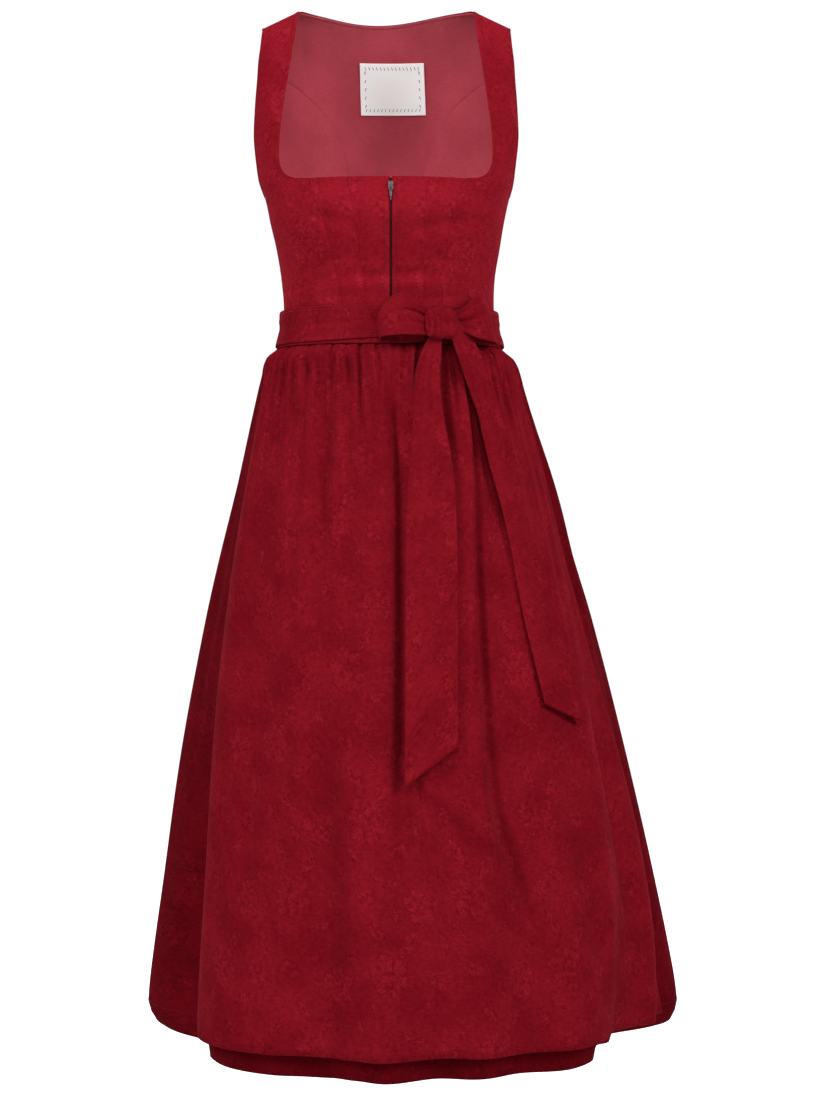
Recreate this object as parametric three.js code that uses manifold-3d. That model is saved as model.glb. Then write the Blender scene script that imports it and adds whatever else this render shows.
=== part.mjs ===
// A midi dirndl with its tied apron, filled out as when it is worn and hollow inside.
// Millimetres, +Z up, the front faces -Y. "left" and "right" are as someone facing the front sees them.
// The origin lies between the tops of the two straps, where shoulders hold the dress up.
import * as THREE from "three";
import Module from "manifold-3d";

// ---------- driving dimensions (mm) ----------
const SEAM_GAP = 0.3; // two sewn pieces stand this far apart
const LAYER_GAP = 0.4; // a piece that lies on another stands this far off it
const BODICE_WALL = 1.4; // jacquard with its interlining
const LINING_WALL = 1.0;
const SKIRT_WALL = 1.5;
const APRON_WALL = 1.4;
const TIE_WALL = 1.8; // ties and bands are two layers of cloth

const WAIST_HEIGHT = -375; // seam between bodice and skirt
const BAND_TOP = -346;
const BAND_BOTTOM = -389;
const SKIRT_HEM = -1174;
const APRON_HEM = -1150;

const SHOULDER_INNER = 100; // neck end of the shoulder seam, from the middle
const SHOULDER_OUTER = 145;
const SHOULDER_DROP = 21; // the strap's outer edge lies this much lower than its neck edge
const SHOULDER_SEAM = -0.025; // both straps stop this far down either side of the shoulder line
const NECK_LIFT = 30; // the back neck stands up between the shoulders

const ZIP_X = 2; // the zip's line, a little right of the middle
const ZIP_OPENING = 4.6; // between the two folded edges of the front

// Level sections of the filled-out dress. half: half width, front and back: depth from the section's own
// middle, shiftX and shiftY: where that middle lies, round: 1 is an ellipse and less is squarer.
const SECTIONS = [
  { z: 0, half: 147, front: 0, back: 0, shiftX: -4, shiftY: 0, round: 0.88 },
  { z: -1.5, half: 147, front: 10, back: 11, shiftX: -4, shiftY: 0, round: 0.88 },
  { z: -5.5, half: 148, front: 20, back: 21, shiftX: -4, shiftY: 0, round: 0.88 },
  { z: -13, half: 149, front: 30, back: 33, shiftX: -4, shiftY: 0, round: 0.88 },
  { z: -26, half: 150, front: 42, back: 47, shiftX: -4, shiftY: 0, round: 0.88 },
  { z: -50, half: 152, front: 58, back: 66, shiftX: -4, shiftY: 0, round: 0.88 },
  { z: -80, half: 153, front: 73, back: 81, shiftX: -4, shiftY: 0, round: 0.88 },
  { z: -120, half: 155, front: 88, back: 92, shiftX: -4, shiftY: 0, round: 0.88 },
  { z: -155, half: 155, front: 100, back: 97, shiftX: -4, shiftY: 0, round: 0.88 },
  { z: -194, half: 148, front: 111, back: 97, shiftX: -4, shiftY: 0, round: 0.88 },
  { z: -217, half: 140, front: 116, back: 95, shiftX: -3, shiftY: 0, round: 0.88 },
  { z: -245, half: 134, front: 118, back: 91, shiftX: -3, shiftY: 0, round: 0.88 },
  { z: -275, half: 128, front: 109, back: 87, shiftX: -2, shiftY: 0, round: 0.88 },
  { z: -309, half: 122.5, front: 99, back: 84, shiftX: -2, shiftY: 0, round: 0.88 },
  { z: -345, half: 120.5, front: 94, back: 84, shiftX: -1, shiftY: 0, round: 0.88 },
  { z: -375, half: 122, front: 94, back: 86, shiftX: 0, shiftY: 0, round: 0.88 },
  { z: -389, half: 127, front: 98, back: 91, shiftX: 0, shiftY: 0, round: 0.89 },
  { z: -401, half: 139, front: 106, back: 101, shiftX: 0, shiftY: 1, round: 0.91 },
  { z: -424, half: 148, front: 113, back: 106, shiftX: 2, shiftY: 3, round: 0.94 },
  { z: -493, half: 170, front: 134, back: 124, shiftX: 5, shiftY: 7, round: 1 },
  { z: -562, half: 189, front: 156, back: 142, shiftX: 8, shiftY: 12, round: 1 },
  { z: -630, half: 206, front: 179, back: 160, shiftX: 10, shiftY: 17, round: 1 },
  { z: -699, half: 223, front: 202, back: 178, shiftX: 13, shiftY: 22, round: 1 },
  { z: -837, half: 253, front: 244, back: 212, shiftX: 17, shiftY: 31, round: 1 },
  { z: -975, half: 279, front: 286, back: 242, shiftX: 22, shiftY: 39, round: 1 },
  { z: -1113, half: 303, front: 326, back: 264, shiftX: 25, shiftY: 44, round: 1 },
  { z: -1174, half: 309, front: 342, back: 270, shiftX: 26, shiftY: 45, round: 1 },
];

// The two front seams of each side: distance from the middle at each height.
const FRONT_SEAMS = [
  { z: -205, innerLeft: -47, outerLeft: -91, innerRight: 43.5, outerRight: 85 },
  { z: -222, innerLeft: -43.5, outerLeft: -87, innerRight: 42, outerRight: 79 },
  { z: -245, innerLeft: -40, outerLeft: -77.5, innerRight: 41, outerRight: 71 },
  { z: -270, innerLeft: -36, outerLeft: -69, innerRight: 40, outerRight: 66 },
  { z: -300, innerLeft: -31.5, outerLeft: -61.5, innerRight: 39, outerRight: 64 },
  { z: -335, innerLeft: -27, outerLeft: -55.5, innerRight: 38, outerRight: 61 },
  { z: -375, innerLeft: -22, outerLeft: -50, innerRight: 36, outerRight: 57 },
];

// Side seam heights, one for each height of the front seams.
const SIDE_SEAM = [-215, -235, -256, -279, -306, -338, -375];

// Square neck corner and strap: its inner edge by distance from the middle, its outer edge (the armhole)
// by angle from the front.
const STRAP = [
  { inner: 103, innerZ: -203.5, angle: 86, outerZ: -207 },
  { inner: 113, innerZ: -198, angle: 81, outerZ: -197 },
  { inner: 119, innerZ: -187, angle: 77.5, outerZ: -184 },
  { inner: 120.5, innerZ: -171, angle: 75.5, outerZ: -168 },
  { inner: 119, innerZ: -145, angle: 74.5, outerZ: -145 },
  { inner: 114, innerZ: -105, angle: 73.5, outerZ: -105 },
  { inner: 108.5, innerZ: -65, angle: 73, outerZ: -65 },
  { inner: 104.5, innerZ: -35, angle: 73, outerZ: -35 },
  { inner: 102, innerZ: -16, angle: 73, outerZ: -16 },
  { inner: 100.5, innerZ: -6, angle: 73.5, outerZ: -6 },
  { inner: 100, innerZ: -1.6, angle: 74.5, outerZ: -1.6 },
  { inner: 100, innerZ: SHOULDER_SEAM, angle: 75.5, outerZ: SHOULDER_SEAM },
];

// Back seams, waist to armhole, and beside them the side seam and the back of the armhole by angle.
const BACK_SEAMS = [
  { seam: 28, seamZ: -375, angle: 90, outerZ: -375 },
  { seam: 28.5, seamZ: -332, angle: 90, outerZ: -338 },
  { seam: 30, seamZ: -290, angle: 90, outerZ: -306 },
  { seam: 32.5, seamZ: -253, angle: 90, outerZ: -279 },
  { seam: 36, seamZ: -220, angle: 90, outerZ: -256 },
  { seam: 40, seamZ: -190, angle: 90, outerZ: -235 },
  { seam: 48, seamZ: -158, angle: 90, outerZ: -215 },
  { seam: 60, seamZ: -128, angle: 97, outerZ: -203 },
  { seam: 78, seamZ: -103, angle: 102, outerZ: -180 },
  { seam: 100, seamZ: -82, angle: 105, outerZ: -145 },
  { seam: 122, seamZ: -66, angle: 107, outerZ: -103 },
  { seam: 139, seamZ: -57, angle: 108, outerZ: -67 },
];

// Long folds of the skirt and of the apron on it. Angles run from the front, minus to the left.
// high, mid and low are the fold's angle, width and depth at the waist, half way down and at the hem;
// a depth below 0 is a trough.
const FOLDS = [
  { high: 2, mid: -0.5, low: -1.5, wideHigh: 2.6, wideLow: 3.2, deepHigh: -10, deepMid: -13, deepLow: -5 },
  { high: 41, mid: 27, low: 25, wideHigh: 3, wideLow: 6, deepHigh: -8, deepMid: -13, deepLow: -24 },
  { high: 25, mid: 12, low: 6, wideHigh: 3, wideLow: 4.5, deepHigh: -8, deepMid: -4, deepLow: -22 },
  { high: -33, mid: -22, low: -15, wideHigh: 2.5, wideLow: 5, deepHigh: -8, deepMid: -3, deepLow: -14 },
  { high: -20, mid: -14, low: -5, wideHigh: 2.5, wideLow: 4, deepHigh: -8, deepMid: -2, deepLow: 13 },
  { high: -52, mid: -43, low: -38, wideHigh: 4, wideLow: 8, deepHigh: -4, deepMid: -5, deepLow: 4 },
  { high: -80, mid: -72, low: -68, wideHigh: 5, wideLow: 11, deepHigh: -5, deepMid: -17, deepLow: -62 },
  { high: 60, mid: 49, low: 42, wideHigh: 4, wideLow: 5, deepHigh: -5, deepMid: -7, deepLow: -12 },
  { high: 74, mid: 64, low: 57, wideHigh: 4, wideLow: 7, deepHigh: -5, deepMid: -11, deepLow: -58 },
  { high: 92, mid: 82, low: 76, wideHigh: 4, wideLow: 8, deepHigh: -4, deepMid: -14, deepLow: -66 },
  { high: 110, mid: 106, low: 103, wideHigh: 5, wideLow: 8, deepHigh: 3, deepMid: 8, deepLow: 14 },
  { high: 124, mid: 121, low: 120, wideHigh: 4, wideLow: 7, deepHigh: -6, deepMid: -14, deepLow: -32 },
  { high: 143, mid: 140, low: 141, wideHigh: 4, wideLow: 8, deepHigh: -5, deepMid: -9, deepLow: -24 },
  { high: 160, mid: 163, low: 162, wideHigh: 4, wideLow: 7, deepHigh: -7, deepMid: -15, deepLow: -34 },
  { high: 180, mid: 181, low: 182, wideHigh: 4, wideLow: 9, deepHigh: -4, deepMid: -8, deepLow: -20 },
  { high: 199, mid: 202, low: 203, wideHigh: 4, wideLow: 7, deepHigh: -7, deepMid: -16, deepLow: -36 },
  { high: 219, mid: 221, low: 223, wideHigh: 4, wideLow: 8, deepHigh: -5, deepMid: -9, deepLow: -22 },
  { high: 238, mid: 240, low: 240, wideHigh: 4, wideLow: 7, deepHigh: -6, deepMid: -13, deepLow: -30 },
  { high: 252, mid: 255, low: 257, wideHigh: 5, wideLow: 8, deepHigh: 3, deepMid: 7, deepLow: 12 },
];

// Gathers: how far the small waves stand out at each height, from the band to where they have run out.
const GATHER_DEPTH = [
  { z: -375, deep: 0.5 },
  { z: -389, deep: 1 },
  { z: -401, deep: 2.6 },
  { z: -424, deep: 3.6 },
  { z: -460, deep: 2.8 },
  { z: -510, deep: 1.4 },
  { z: -575, deep: 0 },
  { z: -1174, deep: 0 },
];

// The apron's two side edges by angle, and how far the apron has swung clear of the skirt.
const APRON_EDGES = [
  { z: -389, left: -80, right: 80, clear: 0.5 },
  { z: -460, left: -77, right: 76, clear: 0.6 },
  { z: -600, left: -70, right: 71, clear: 0.9 },
  { z: -800, left: -61, right: 70, clear: 2 },
  { z: -975, left: -57, right: 74, clear: 4 },
  { z: -1150, left: -53, right: 80, clear: 7 },
];

// ---------- tables and curves ----------
const radians = THREE.MathUtils.degToRad;

// The column of a table at a height, on a smooth curve through its rows (highest row first).
function column(table, z, name) {
  const last = table.length - 1;
  if (z >= table[0].z) return table[0][name];
  if (z <= table[last].z) return table[last][name];
  let i = 0;
  while (z < table[i + 1].z) i++;
  const slope = (k) => {
    const a = table[Math.max(k - 1, 0)];
    const b = table[Math.min(k + 1, last)];
    return (b[name] - a[name]) / (b.z - a.z);
  };
  const from = table[i];
  const to = table[i + 1];
  const step = to.z - from.z;
  const t = (z - from.z) / step;
  const ease = t * t * (3 - 2 * t);
  const bend = t * (1 - t) * step * ((1 - t) * slope(i) - t * slope(i + 1));
  return from[name] + (to[name] - from[name]) * ease + bend;
}

const power = (value, exponent) => Math.sign(value) * Math.abs(value) ** exponent;

// A number that goes from 0 to 1 as value goes from one limit to the other, with soft ends.
const fade = (value, from, to) => THREE.MathUtils.smoothstep((value - from) / (to - from), 0, 1);

// ---------- the filled-out form ----------
// The point of the form at an angle from the front and a height.
function formPoint(angle, z, lift = 0) {
  const half = column(SECTIONS, z, "half");
  const depth = column(SECTIONS, z, Math.abs(((angle % 360) + 360) % 360 - 180) < 90 ? "back" : "front");
  const round = column(SECTIONS, z, "round");
  const sine = Math.sin(radians(angle));
  const cosine = Math.cos(radians(angle));
  const out = new THREE.Vector2(depth * sine, -half * cosine).normalize();
  return new THREE.Vector3(
    column(SECTIONS, z, "shiftX") + half * power(sine, round) + lift * out.x,
    column(SECTIONS, z, "shiftY") - depth * power(cosine, round) + lift * out.y,
    z,
  );
}

// The angle on the front (or the back) at which the form is a given distance from the middle.
function angleAt(x, z, onBack = false) {
  const reach = (x - column(SECTIONS, z, "shiftX")) / column(SECTIONS, z, "half");
  const sine = THREE.MathUtils.clamp(power(reach, 1 / column(SECTIONS, z, "round")), -1, 1);
  const angle = THREE.MathUtils.radToDeg(Math.asin(sine));
  return onBack ? 180 - angle : angle;
}

// The bodice follows the form, drops to the shoulder's end and stands up at the back of the neck.
function bodicePoint(angle, z) {
  const point = formPoint(angle, z);
  const beyond = Math.max(0, Math.abs(point.x - column(SECTIONS, z, "shiftX")) - SHOULDER_INNER);
  const shoulder = (SHOULDER_DROP * beyond) / (SHOULDER_OUTER - SHOULDER_INNER);
  const across = THREE.MathUtils.clamp(point.x / SHOULDER_INNER, -1, 1);
  const neck = Math.cos(angle * Math.PI / 180) < 0 ? NECK_LIFT * Math.cos((across * Math.PI) / 2) ** 2 : 0;
  point.z += neck * fade(z, -150, -35) - shoulder * fade(z, -110, 0);
  return point;
}

// The same point moved along the surface's own normal: outwards above 0, into the hollow below 0.
function bodiceLayer(angle, z, out) {
  const small = 0.5;
  const point = bodicePoint(angle, z);
  if (z > -small) return point.setZ(point.z + out);
  const along = bodicePoint(angle, z + small).sub(bodicePoint(angle, z - small));
  const round = bodicePoint(angle + small, z).sub(bodicePoint(angle - small, z));
  return point.addScaledVector(round.cross(along).normalize(), out);
}

// ---------- walls ----------
// A closed wall of cloth. Each row is a list of [outer, inner] points, left to right, top row first.
// A row may have half as many steps as the one above it.
function wall(rows) {
  const points = [];
  const faces = [];
  const index = rows.map((row) => row.map(([outer, inner]) => points.push(outer, inner) - 2));
  const quad = (a, b, c, d) => faces.push(a, b, c, a, c, d);
  const face = (a, b, c) => faces.push(a, b, c, a + 1, c + 1, b + 1);
  const lastRow = rows.length - 1;
  for (let i = 0; i < lastRow; i++) {
    const top = index[i];
    const low = index[i + 1];
    const halved = top.length !== low.length;
    for (let j = 0; j + 1 < low.length; j++) {
      if (halved) {
        face(top[2 * j], low[j], top[2 * j + 1]);
        face(top[2 * j + 1], low[j], low[j + 1]);
        face(top[2 * j + 1], low[j + 1], top[2 * j + 2]);
      } else {
        face(top[j], low[j], low[j + 1]);
        face(top[j], low[j + 1], top[j + 1]);
      }
    }
    quad(top[0], top[0] + 1, low[0] + 1, low[0]);
    const [topEnd, lowEnd] = [top.at(-1), low.at(-1)];
    quad(topEnd + 1, topEnd, lowEnd, lowEnd + 1);
  }
  for (let j = 0; j + 1 < index[0].length; j++) {
    quad(index[0][j], index[0][j + 1], index[0][j + 1] + 1, index[0][j] + 1);
  }
  for (let j = 0; j + 1 < index[lastRow].length; j++) {
    const low = index[lastRow];
    quad(low[j], low[j] + 1, low[j + 1] + 1, low[j + 1]);
  }
  const geometry = new THREE.BufferGeometry();
  geometry.setAttribute("position", new THREE.Float32BufferAttribute(points.flatMap((p) => p.toArray()), 3));
  geometry.setIndex(faces);
  geometry.computeVertexNormals();
  return geometry;
}

// ---------- colours ----------
const cloth = (color, roughness) =>
  new THREE.MeshStandardMaterial({ color, roughness, metalness: 0, side: THREE.DoubleSide });
const dressCloth = cloth(0x8b131e, 0.75);
const skirtCloth = cloth(0x6e0d17, 0.8);
const apronCloth = cloth(0x7a0e19, 0.75);
const liningCloth = cloth(0x9e3744, 0.8);
const labelCloth = cloth(0xe4e6e5, 0.9);
const zipTape = cloth(0x3c070e, 0.8);
const metal = new THREE.MeshStandardMaterial({ color: 0xb9bcc2, roughness: 0.3, metalness: 1 });

const dirndl = new THREE.Group();
function add(name, geometry, material) {
  const mesh = new THREE.Mesh(geometry, material);
  mesh.name = name;
  dirndl.add(mesh);
}

// ---------- bodice ----------
// A panel between two edges. Each edge is a list of [angle, height], top first; the panel is drawn in from
// both by half a seam gap, and runs from one layer depth to another below the form.
function panel(leftEdge, rightEdge, steps, from, to) {
  const rows = leftEdge.map(([leftAngle, leftZ], i) => {
    const [rightAngle, rightZ] = rightEdge[i];
    const span = formPoint(leftAngle, leftZ).distanceTo(formPoint(rightAngle, rightZ));
    const inset = SEAM_GAP / 2 / Math.max(span, 1);
    return Array.from({ length: steps + 1 }, (_, j) => {
      const t = inset + (1 - 2 * inset) * (j / steps);
      const angle = THREE.MathUtils.lerp(leftAngle, rightAngle, t);
      const z = THREE.MathUtils.lerp(leftZ, rightZ, t);
      return [bodiceLayer(angle, z, -from), bodiceLayer(angle, z, -to)];
    });
  });
  return wall(rows);
}

const underCloth = BODICE_WALL + SEAM_GAP; // depth at which a layer inside the bodice begins
const waistEdge = (z) => (z === WAIST_HEIGHT ? WAIST_HEIGHT + SEAM_GAP / 2 : z);
const SIDES = [
  { name: "left", sign: -1, inner: "innerLeft", outer: "outerLeft" },
  { name: "right", sign: 1, inner: "innerRight", outer: "outerRight" },
];

for (const side of SIDES) {
  const seam = (column) => FRONT_SEAMS.map((row) => [angleAt(row[column], row.z), waistEdge(row.z)]);
  const zipEdge = FRONT_SEAMS.map(({ z }) => [angleAt(ZIP_X + (side.sign * ZIP_OPENING) / 2, z), waistEdge(z)]);
  const sideSeam = SIDE_SEAM.map((z) => [side.sign * 90, waistEdge(z)]);
  const ordered = (a, b) => (side.sign < 0 ? [b, a] : [a, b]);

  add(`bodice_front_centre_${side.name}`,
    panel(...ordered(zipEdge, seam(side.inner)), 3, 0, BODICE_WALL), dressCloth);
  add(`bodice_front_mid_${side.name}`,
    panel(...ordered(seam(side.inner), seam(side.outer)), 3, 0, BODICE_WALL), dressCloth);

  // The side panel goes on above its seams as the front strap, up to the shoulder seam.
  const strap = STRAP.toReversed();
  const strapInner = strap.map((row) => [angleAt(side.sign * row.inner - 4, row.innerZ), row.innerZ]);
  const strapOuter = strap.map((row) => [side.sign * row.angle, row.outerZ]);
  const innerEdge = [...strapInner, ...seam(side.outer)];
  const outerEdge = [...strapOuter, ...sideSeam];
  add(`bodice_front_side_${side.name}`,
    panel(...ordered(innerEdge, outerEdge), 4, 0, BODICE_WALL), dressCloth);

  const backSeam = BACK_SEAMS.map(({ seam, seamZ }) =>
    [angleAt(column(SECTIONS, seamZ, "shiftX") + side.sign * seam, seamZ, true), waistEdge(seamZ)]);
  const backOuter = BACK_SEAMS.map((row) => [side.sign > 0 ? row.angle : 360 - row.angle, waistEdge(row.outerZ)]);
  const backSide = side.sign > 0 ? [backOuter.toReversed(), backSeam.toReversed()]
    : [backSeam.toReversed(), backOuter.toReversed()];
  add(`bodice_back_side_${side.name}`, panel(...backSide, 4, 0, BODICE_WALL), dressCloth);
  add(`lining_back_side_${side.name}`, panel(...backSide, 4, underCloth, underCloth + LINING_WALL), liningCloth);
}

// The back centre panel reaches up as both straps, with the neck edge between them.
const STRAP_BACK = [
  { angle: 104.5, z: SHOULDER_SEAM },
  { angle: 105.5, z: -1.6 },
  { angle: 106.5, z: -6 },
  { angle: 107, z: -16 },
  { angle: 107.5, z: -33 },
];
const NECK_DIP = 35; // the neck edge's height on the form, below the shoulders
const NECK_SHARE = 0.7; // the neck's share of the panel's half width, the rest is strap
const STRAP_STEPS = [-1, -0.85];
const NECK_STEPS = 8;
const backShares = [
  ...STRAP_STEPS,
  ...Array.from({ length: NECK_STEPS + 1 }, (_, i) => NECK_SHARE * ((2 * i) / NECK_STEPS - 1)),
  ...STRAP_STEPS.toReversed().map((share) => -share),
];
const backRows = [
  ...STRAP_BACK.map(({ angle, z }) => ({ half: Math.abs(formPoint(angle, z).x - column(SECTIONS, z, "shiftX")), z })),
  ...BACK_SEAMS.toReversed().map(({ seam, seamZ }) => ({ half: seam, z: waistEdge(seamZ) })),
];
const neckEnd = BACK_SEAMS[6].seamZ; // below this the rows run level
function backCentre(from, to) {
  return wall(backRows.map(({ half, z }) =>
    backShares.map((share) => {
      const dip = Math.cos((THREE.MathUtils.clamp(share / NECK_SHARE, -1, 1) * Math.PI) / 2) ** 2;
      const height = z - Math.max(0, NECK_DIP * dip * (1 - z / neckEnd));
      const x = column(SECTIONS, z, "shiftX") - share * (half - SEAM_GAP / 2);
      const angle = angleAt(x, height, true);
      return [bodiceLayer(angle, height, -from), bodiceLayer(angle, height, -to)];
    })));
}
add("bodice_back_centre", backCentre(0, BODICE_WALL), dressCloth);
add("lining_back_centre", backCentre(underCloth, underCloth + LINING_WALL), liningCloth);

// The woven label lies on the lining. Its own heights are given, so it stays straight where the neck rises.
const LABEL = { left: -37, right: 40.5, top: -45, bottom: -104.8, lean: 1.8, wall: 1, gap: 1.7 };
const labelDepth = underCloth + LINING_WALL + LABEL.gap;
// The height on the form from which the back is raised to a given height.
function heightBelow(x, raised) {
  let z = raised;
  for (let i = 0; i < 20; i++) z += 0.6 * (raised - bodicePoint(angleAt(x, z, true), z).z);
  return z;
}
add("neck_label", wall([0, 0.25, 0.5, 0.75, 1].map((down) =>
  [1, 0.8, 0.6, 0.4, 0.2, 0].map((across) => {
    const x = THREE.MathUtils.lerp(LABEL.left, LABEL.right, across) + LABEL.lean * down;
    const z = heightBelow(x, THREE.MathUtils.lerp(LABEL.top, LABEL.bottom, down));
    const angle = angleAt(x, z, true);
    return [bodiceLayer(angle, z, -labelDepth), bodiceLayer(angle, z, -labelDepth - LABEL.wall)];
  }))), labelCloth);

// ---------- skirt and apron ----------
// How far one long fold stands out of the form, or sinks in.
function foldDepth(fold, angle, down) {
  const part = (high, mid, low) =>
    down < 0.5 ? THREE.MathUtils.lerp(high, mid, 2 * down) : THREE.MathUtils.lerp(mid, low, 2 * down - 1);
  const centre = part(fold.high, fold.mid, fold.low);
  const wide = THREE.MathUtils.lerp(fold.wideHigh, fold.wideLow, down);
  const turn = ((angle - centre + 540) % 360) - 180;
  return part(fold.deepHigh, fold.deepMid, fold.deepLow) * Math.exp(-0.5 * (turn / wide) ** 2);
}

// The skirt's cloth at an angle and height. gather is where in a gather the point lies, -1 to 1.
function skirtPoint(angle, z, gather, lift) {
  const down = (WAIST_HEIGHT - z) / (WAIST_HEIGHT - SKIRT_HEM);
  const folds = FOLDS.reduce((sum, fold) => sum + foldDepth(fold, angle, down), 0);
  const out = folds * fade(z, BAND_BOTTOM, -440) + gather * column(GATHER_DEPTH, z, "deep");
  return formPoint(angle, z, out + lift);
}

const FULL_ROWS = [-375, -389.4, -401, -430, -480];
const HALF_ROWS = [-545, -630, -730, -840, -950, -1055, -1150, -1174];
// Four grid lines make one gather.
const APRON_STEPS = 88; // 22 gathers across the apron
const MARGIN_STEPS = 12; // 3 more on the skirt at each side of it
const BACK_STEPS = 44; // 11 on each half of the back
const SIDE_ANGLE = { top: 102, hem: 106 };

const gatherAt = (j) => Math.sin((j * Math.PI) / 2) * (0.8 + 0.3 * Math.sin(1.3 * j));
const sideAngle = (z) =>
  THREE.MathUtils.mapLinear(z, WAIST_HEIGHT, SKIRT_HEM, SIDE_ANGLE.top, SIDE_ANGLE.hem);

// The angle of a grid line at a height: 0 to APRON_STEPS lie on the apron, others beside it.
function lineAngle(line, z) {
  const left = column(APRON_EDGES, z, "left");
  const right = column(APRON_EDGES, z, "right");
  if (line < 0) return THREE.MathUtils.mapLinear(line, -MARGIN_STEPS, 0, -sideAngle(z), left);
  if (line <= APRON_STEPS) return THREE.MathUtils.mapLinear(line, 0, APRON_STEPS, left, right);
  return THREE.MathUtils.mapLinear(line, APRON_STEPS, APRON_STEPS + MARGIN_STEPS, right, sideAngle(z));
}

// A gathered wall between two grid lines. angleOf gives a line's angle at a height.
function gathered(fullRows, halfRows, first, last, angleOf, from, to) {
  const row = (z, step) => {
    const count = (last - first) / step;
    return Array.from({ length: count + 1 }, (_, i) => {
      const line = first + i * step;
      const inset = i === 0 ? 1 : i === count ? -1 : 0;
      const angle = angleOf(line, z) + inset * THREE.MathUtils.radToDeg(SEAM_GAP / 2 / column(SECTIONS, z, "half"));
      const height = z === WAIST_HEIGHT ? z - SEAM_GAP / 2 : z;
      const gather = gatherAt(line);
      return [skirtPoint(angle, height, gather, to(z)), skirtPoint(angle, height, gather, from(z))];
    });
  };
  return wall([...fullRows.map((z) => row(z, 1)), ...halfRows.map((z) => row(z, 2))]);
}

const skirtOut = () => 0;
const skirtIn = () => -SKIRT_WALL;
add("skirt_front", gathered(FULL_ROWS, HALF_ROWS, -MARGIN_STEPS, APRON_STEPS + MARGIN_STEPS, lineAngle,
  skirtIn, skirtOut), skirtCloth);
const backAngle = (line, z) => THREE.MathUtils.mapLinear(line, 0, 2 * BACK_STEPS, sideAngle(z), 360 - sideAngle(z));
add("skirt_back_right", gathered(FULL_ROWS, HALF_ROWS, 0, BACK_STEPS, backAngle, skirtIn, skirtOut), skirtCloth);
add("skirt_back_left", gathered(FULL_ROWS, HALF_ROWS, BACK_STEPS, 2 * BACK_STEPS, backAngle, skirtIn, skirtOut),
  skirtCloth);

const apronIn = (z) => column(APRON_EDGES, z, "clear");
const apronOut = (z) => apronIn(z) + APRON_WALL;
const onApron = (z) => z < BAND_BOTTOM && z >= APRON_HEM;
add("apron_panel", gathered(FULL_ROWS.filter(onApron), HALF_ROWS.filter(onApron), 0, APRON_STEPS, lineAngle,
  apronIn, apronOut), apronCloth);

// ---------- waistband and ties ----------
const BAND_IN = 2.6; // the band's inner face stands this far off the form
const BAND_OUT = BAND_IN + TIE_WALL;
const TIE_IN = BAND_OUT + 0.7; // a tie that lies on the band or on the other tie, clear of its bends
const BAND_END = 80; // angle of the band's two ends
const BAND_STEP = 8; // degrees

// The band is straight above and below its middle line, and what lies on it follows it.
const BAND_MIDDLE = -367;
function bandPoint(angle, z, lift) {
  const end = z > BAND_MIDDLE ? BAND_TOP : BAND_BOTTOM;
  const share = (z - BAND_MIDDLE) / (end - BAND_MIDDLE);
  return formPoint(angle, BAND_MIDDLE, lift).lerp(formPoint(angle, end, lift), share);
}

add("apron_waistband", wall([BAND_TOP, BAND_MIDDLE, BAND_BOTTOM].map((z) =>
  Array.from({ length: (2 * BAND_END) / BAND_STEP + 1 }, (_, i) => {
    const angle = i * BAND_STEP - BAND_END;
    return [bandPoint(angle, z, BAND_OUT), bandPoint(angle, z, BAND_IN)];
  }))), apronCloth);

// Each tie leaves its end of the band, goes round the back, crosses the other there and comes forward
// over the band to the knot. turn: degrees gone from the band's end, layer: 0 on the skirt, 1 on the band.
const TIE_LEFT = [
  { turn: 0, middle: -367.5, tall: 41, layer: 0 },
  { turn: 16, middle: -367.5, tall: 40, layer: 0 },
  { turn: 28, middle: -364, tall: 33, layer: 0 },
  { turn: 40, middle: -358, tall: 21, layer: 0 },
  { turn: 52, middle: -357, tall: 19, layer: 0 },
  { turn: 74, middle: -357, tall: 19, layer: 0 },
  { turn: 86, middle: -358, tall: 20, layer: 1 },
  { turn: 100, middle: -364, tall: 27, layer: 1 },
  { turn: 125, middle: -367.5, tall: 39, layer: 1 },
  { turn: 200, middle: -367, tall: 40, layer: 1 },
  { turn: 232, middle: -366, tall: 38, layer: 1 },
  { turn: 248, middle: -366, tall: 28, layer: 1 },
];
const TIE_RIGHT = [
  { turn: 0, middle: -367.5, tall: 41, layer: 0 },
  { turn: 60, middle: -367.5, tall: 40, layer: 0 },
  { turn: 84, middle: -367.5, tall: 35, layer: 0 },
  { turn: 98, middle: -371, tall: 28, layer: 0 },
  { turn: 112, middle: -379, tall: 18.5, layer: 0 },
  { turn: 128, middle: -380, tall: 17.5, layer: 0 },
  { turn: 144, middle: -380, tall: 17.5, layer: 0 },
  { turn: 156, middle: -378, tall: 21, layer: 1 },
  { turn: 174, middle: -369, tall: 37, layer: 1 },
  { turn: 210, middle: -366.5, tall: 40, layer: 1 },
  { turn: 250, middle: -366, tall: 39, layer: 1 },
  { turn: 273, middle: -365, tall: 36, layer: 1 },
  { turn: 288, middle: -366, tall: 30, layer: 1 },
];
function tie(rows, direction) {
  const table = rows.map((row) => ({ ...row, z: -row.turn }));
  const steps = table.at(-1).turn / BAND_STEP;
  const start = THREE.MathUtils.radToDeg(SEAM_GAP / column(SECTIONS, BAND_TOP, "half"));
  const across = Array.from({ length: steps + 1 }, (_, i) => Math.max(i * BAND_STEP, start));
  const ordered = direction > 0 ? across : across.toReversed();
  return wall([0.5, 0, -0.5].map((share) =>
    ordered.map((turn) => {
      const at = (name) => column(table, -turn, name);
      const z = at("middle") + share * at("tall");
      const lift = THREE.MathUtils.lerp(BAND_IN, TIE_IN, at("layer"));
      const angle = direction * (BAND_END + turn);
      return [bandPoint(angle, z, lift + TIE_WALL), bandPoint(angle, z, lift)];
    })));
}
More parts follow.
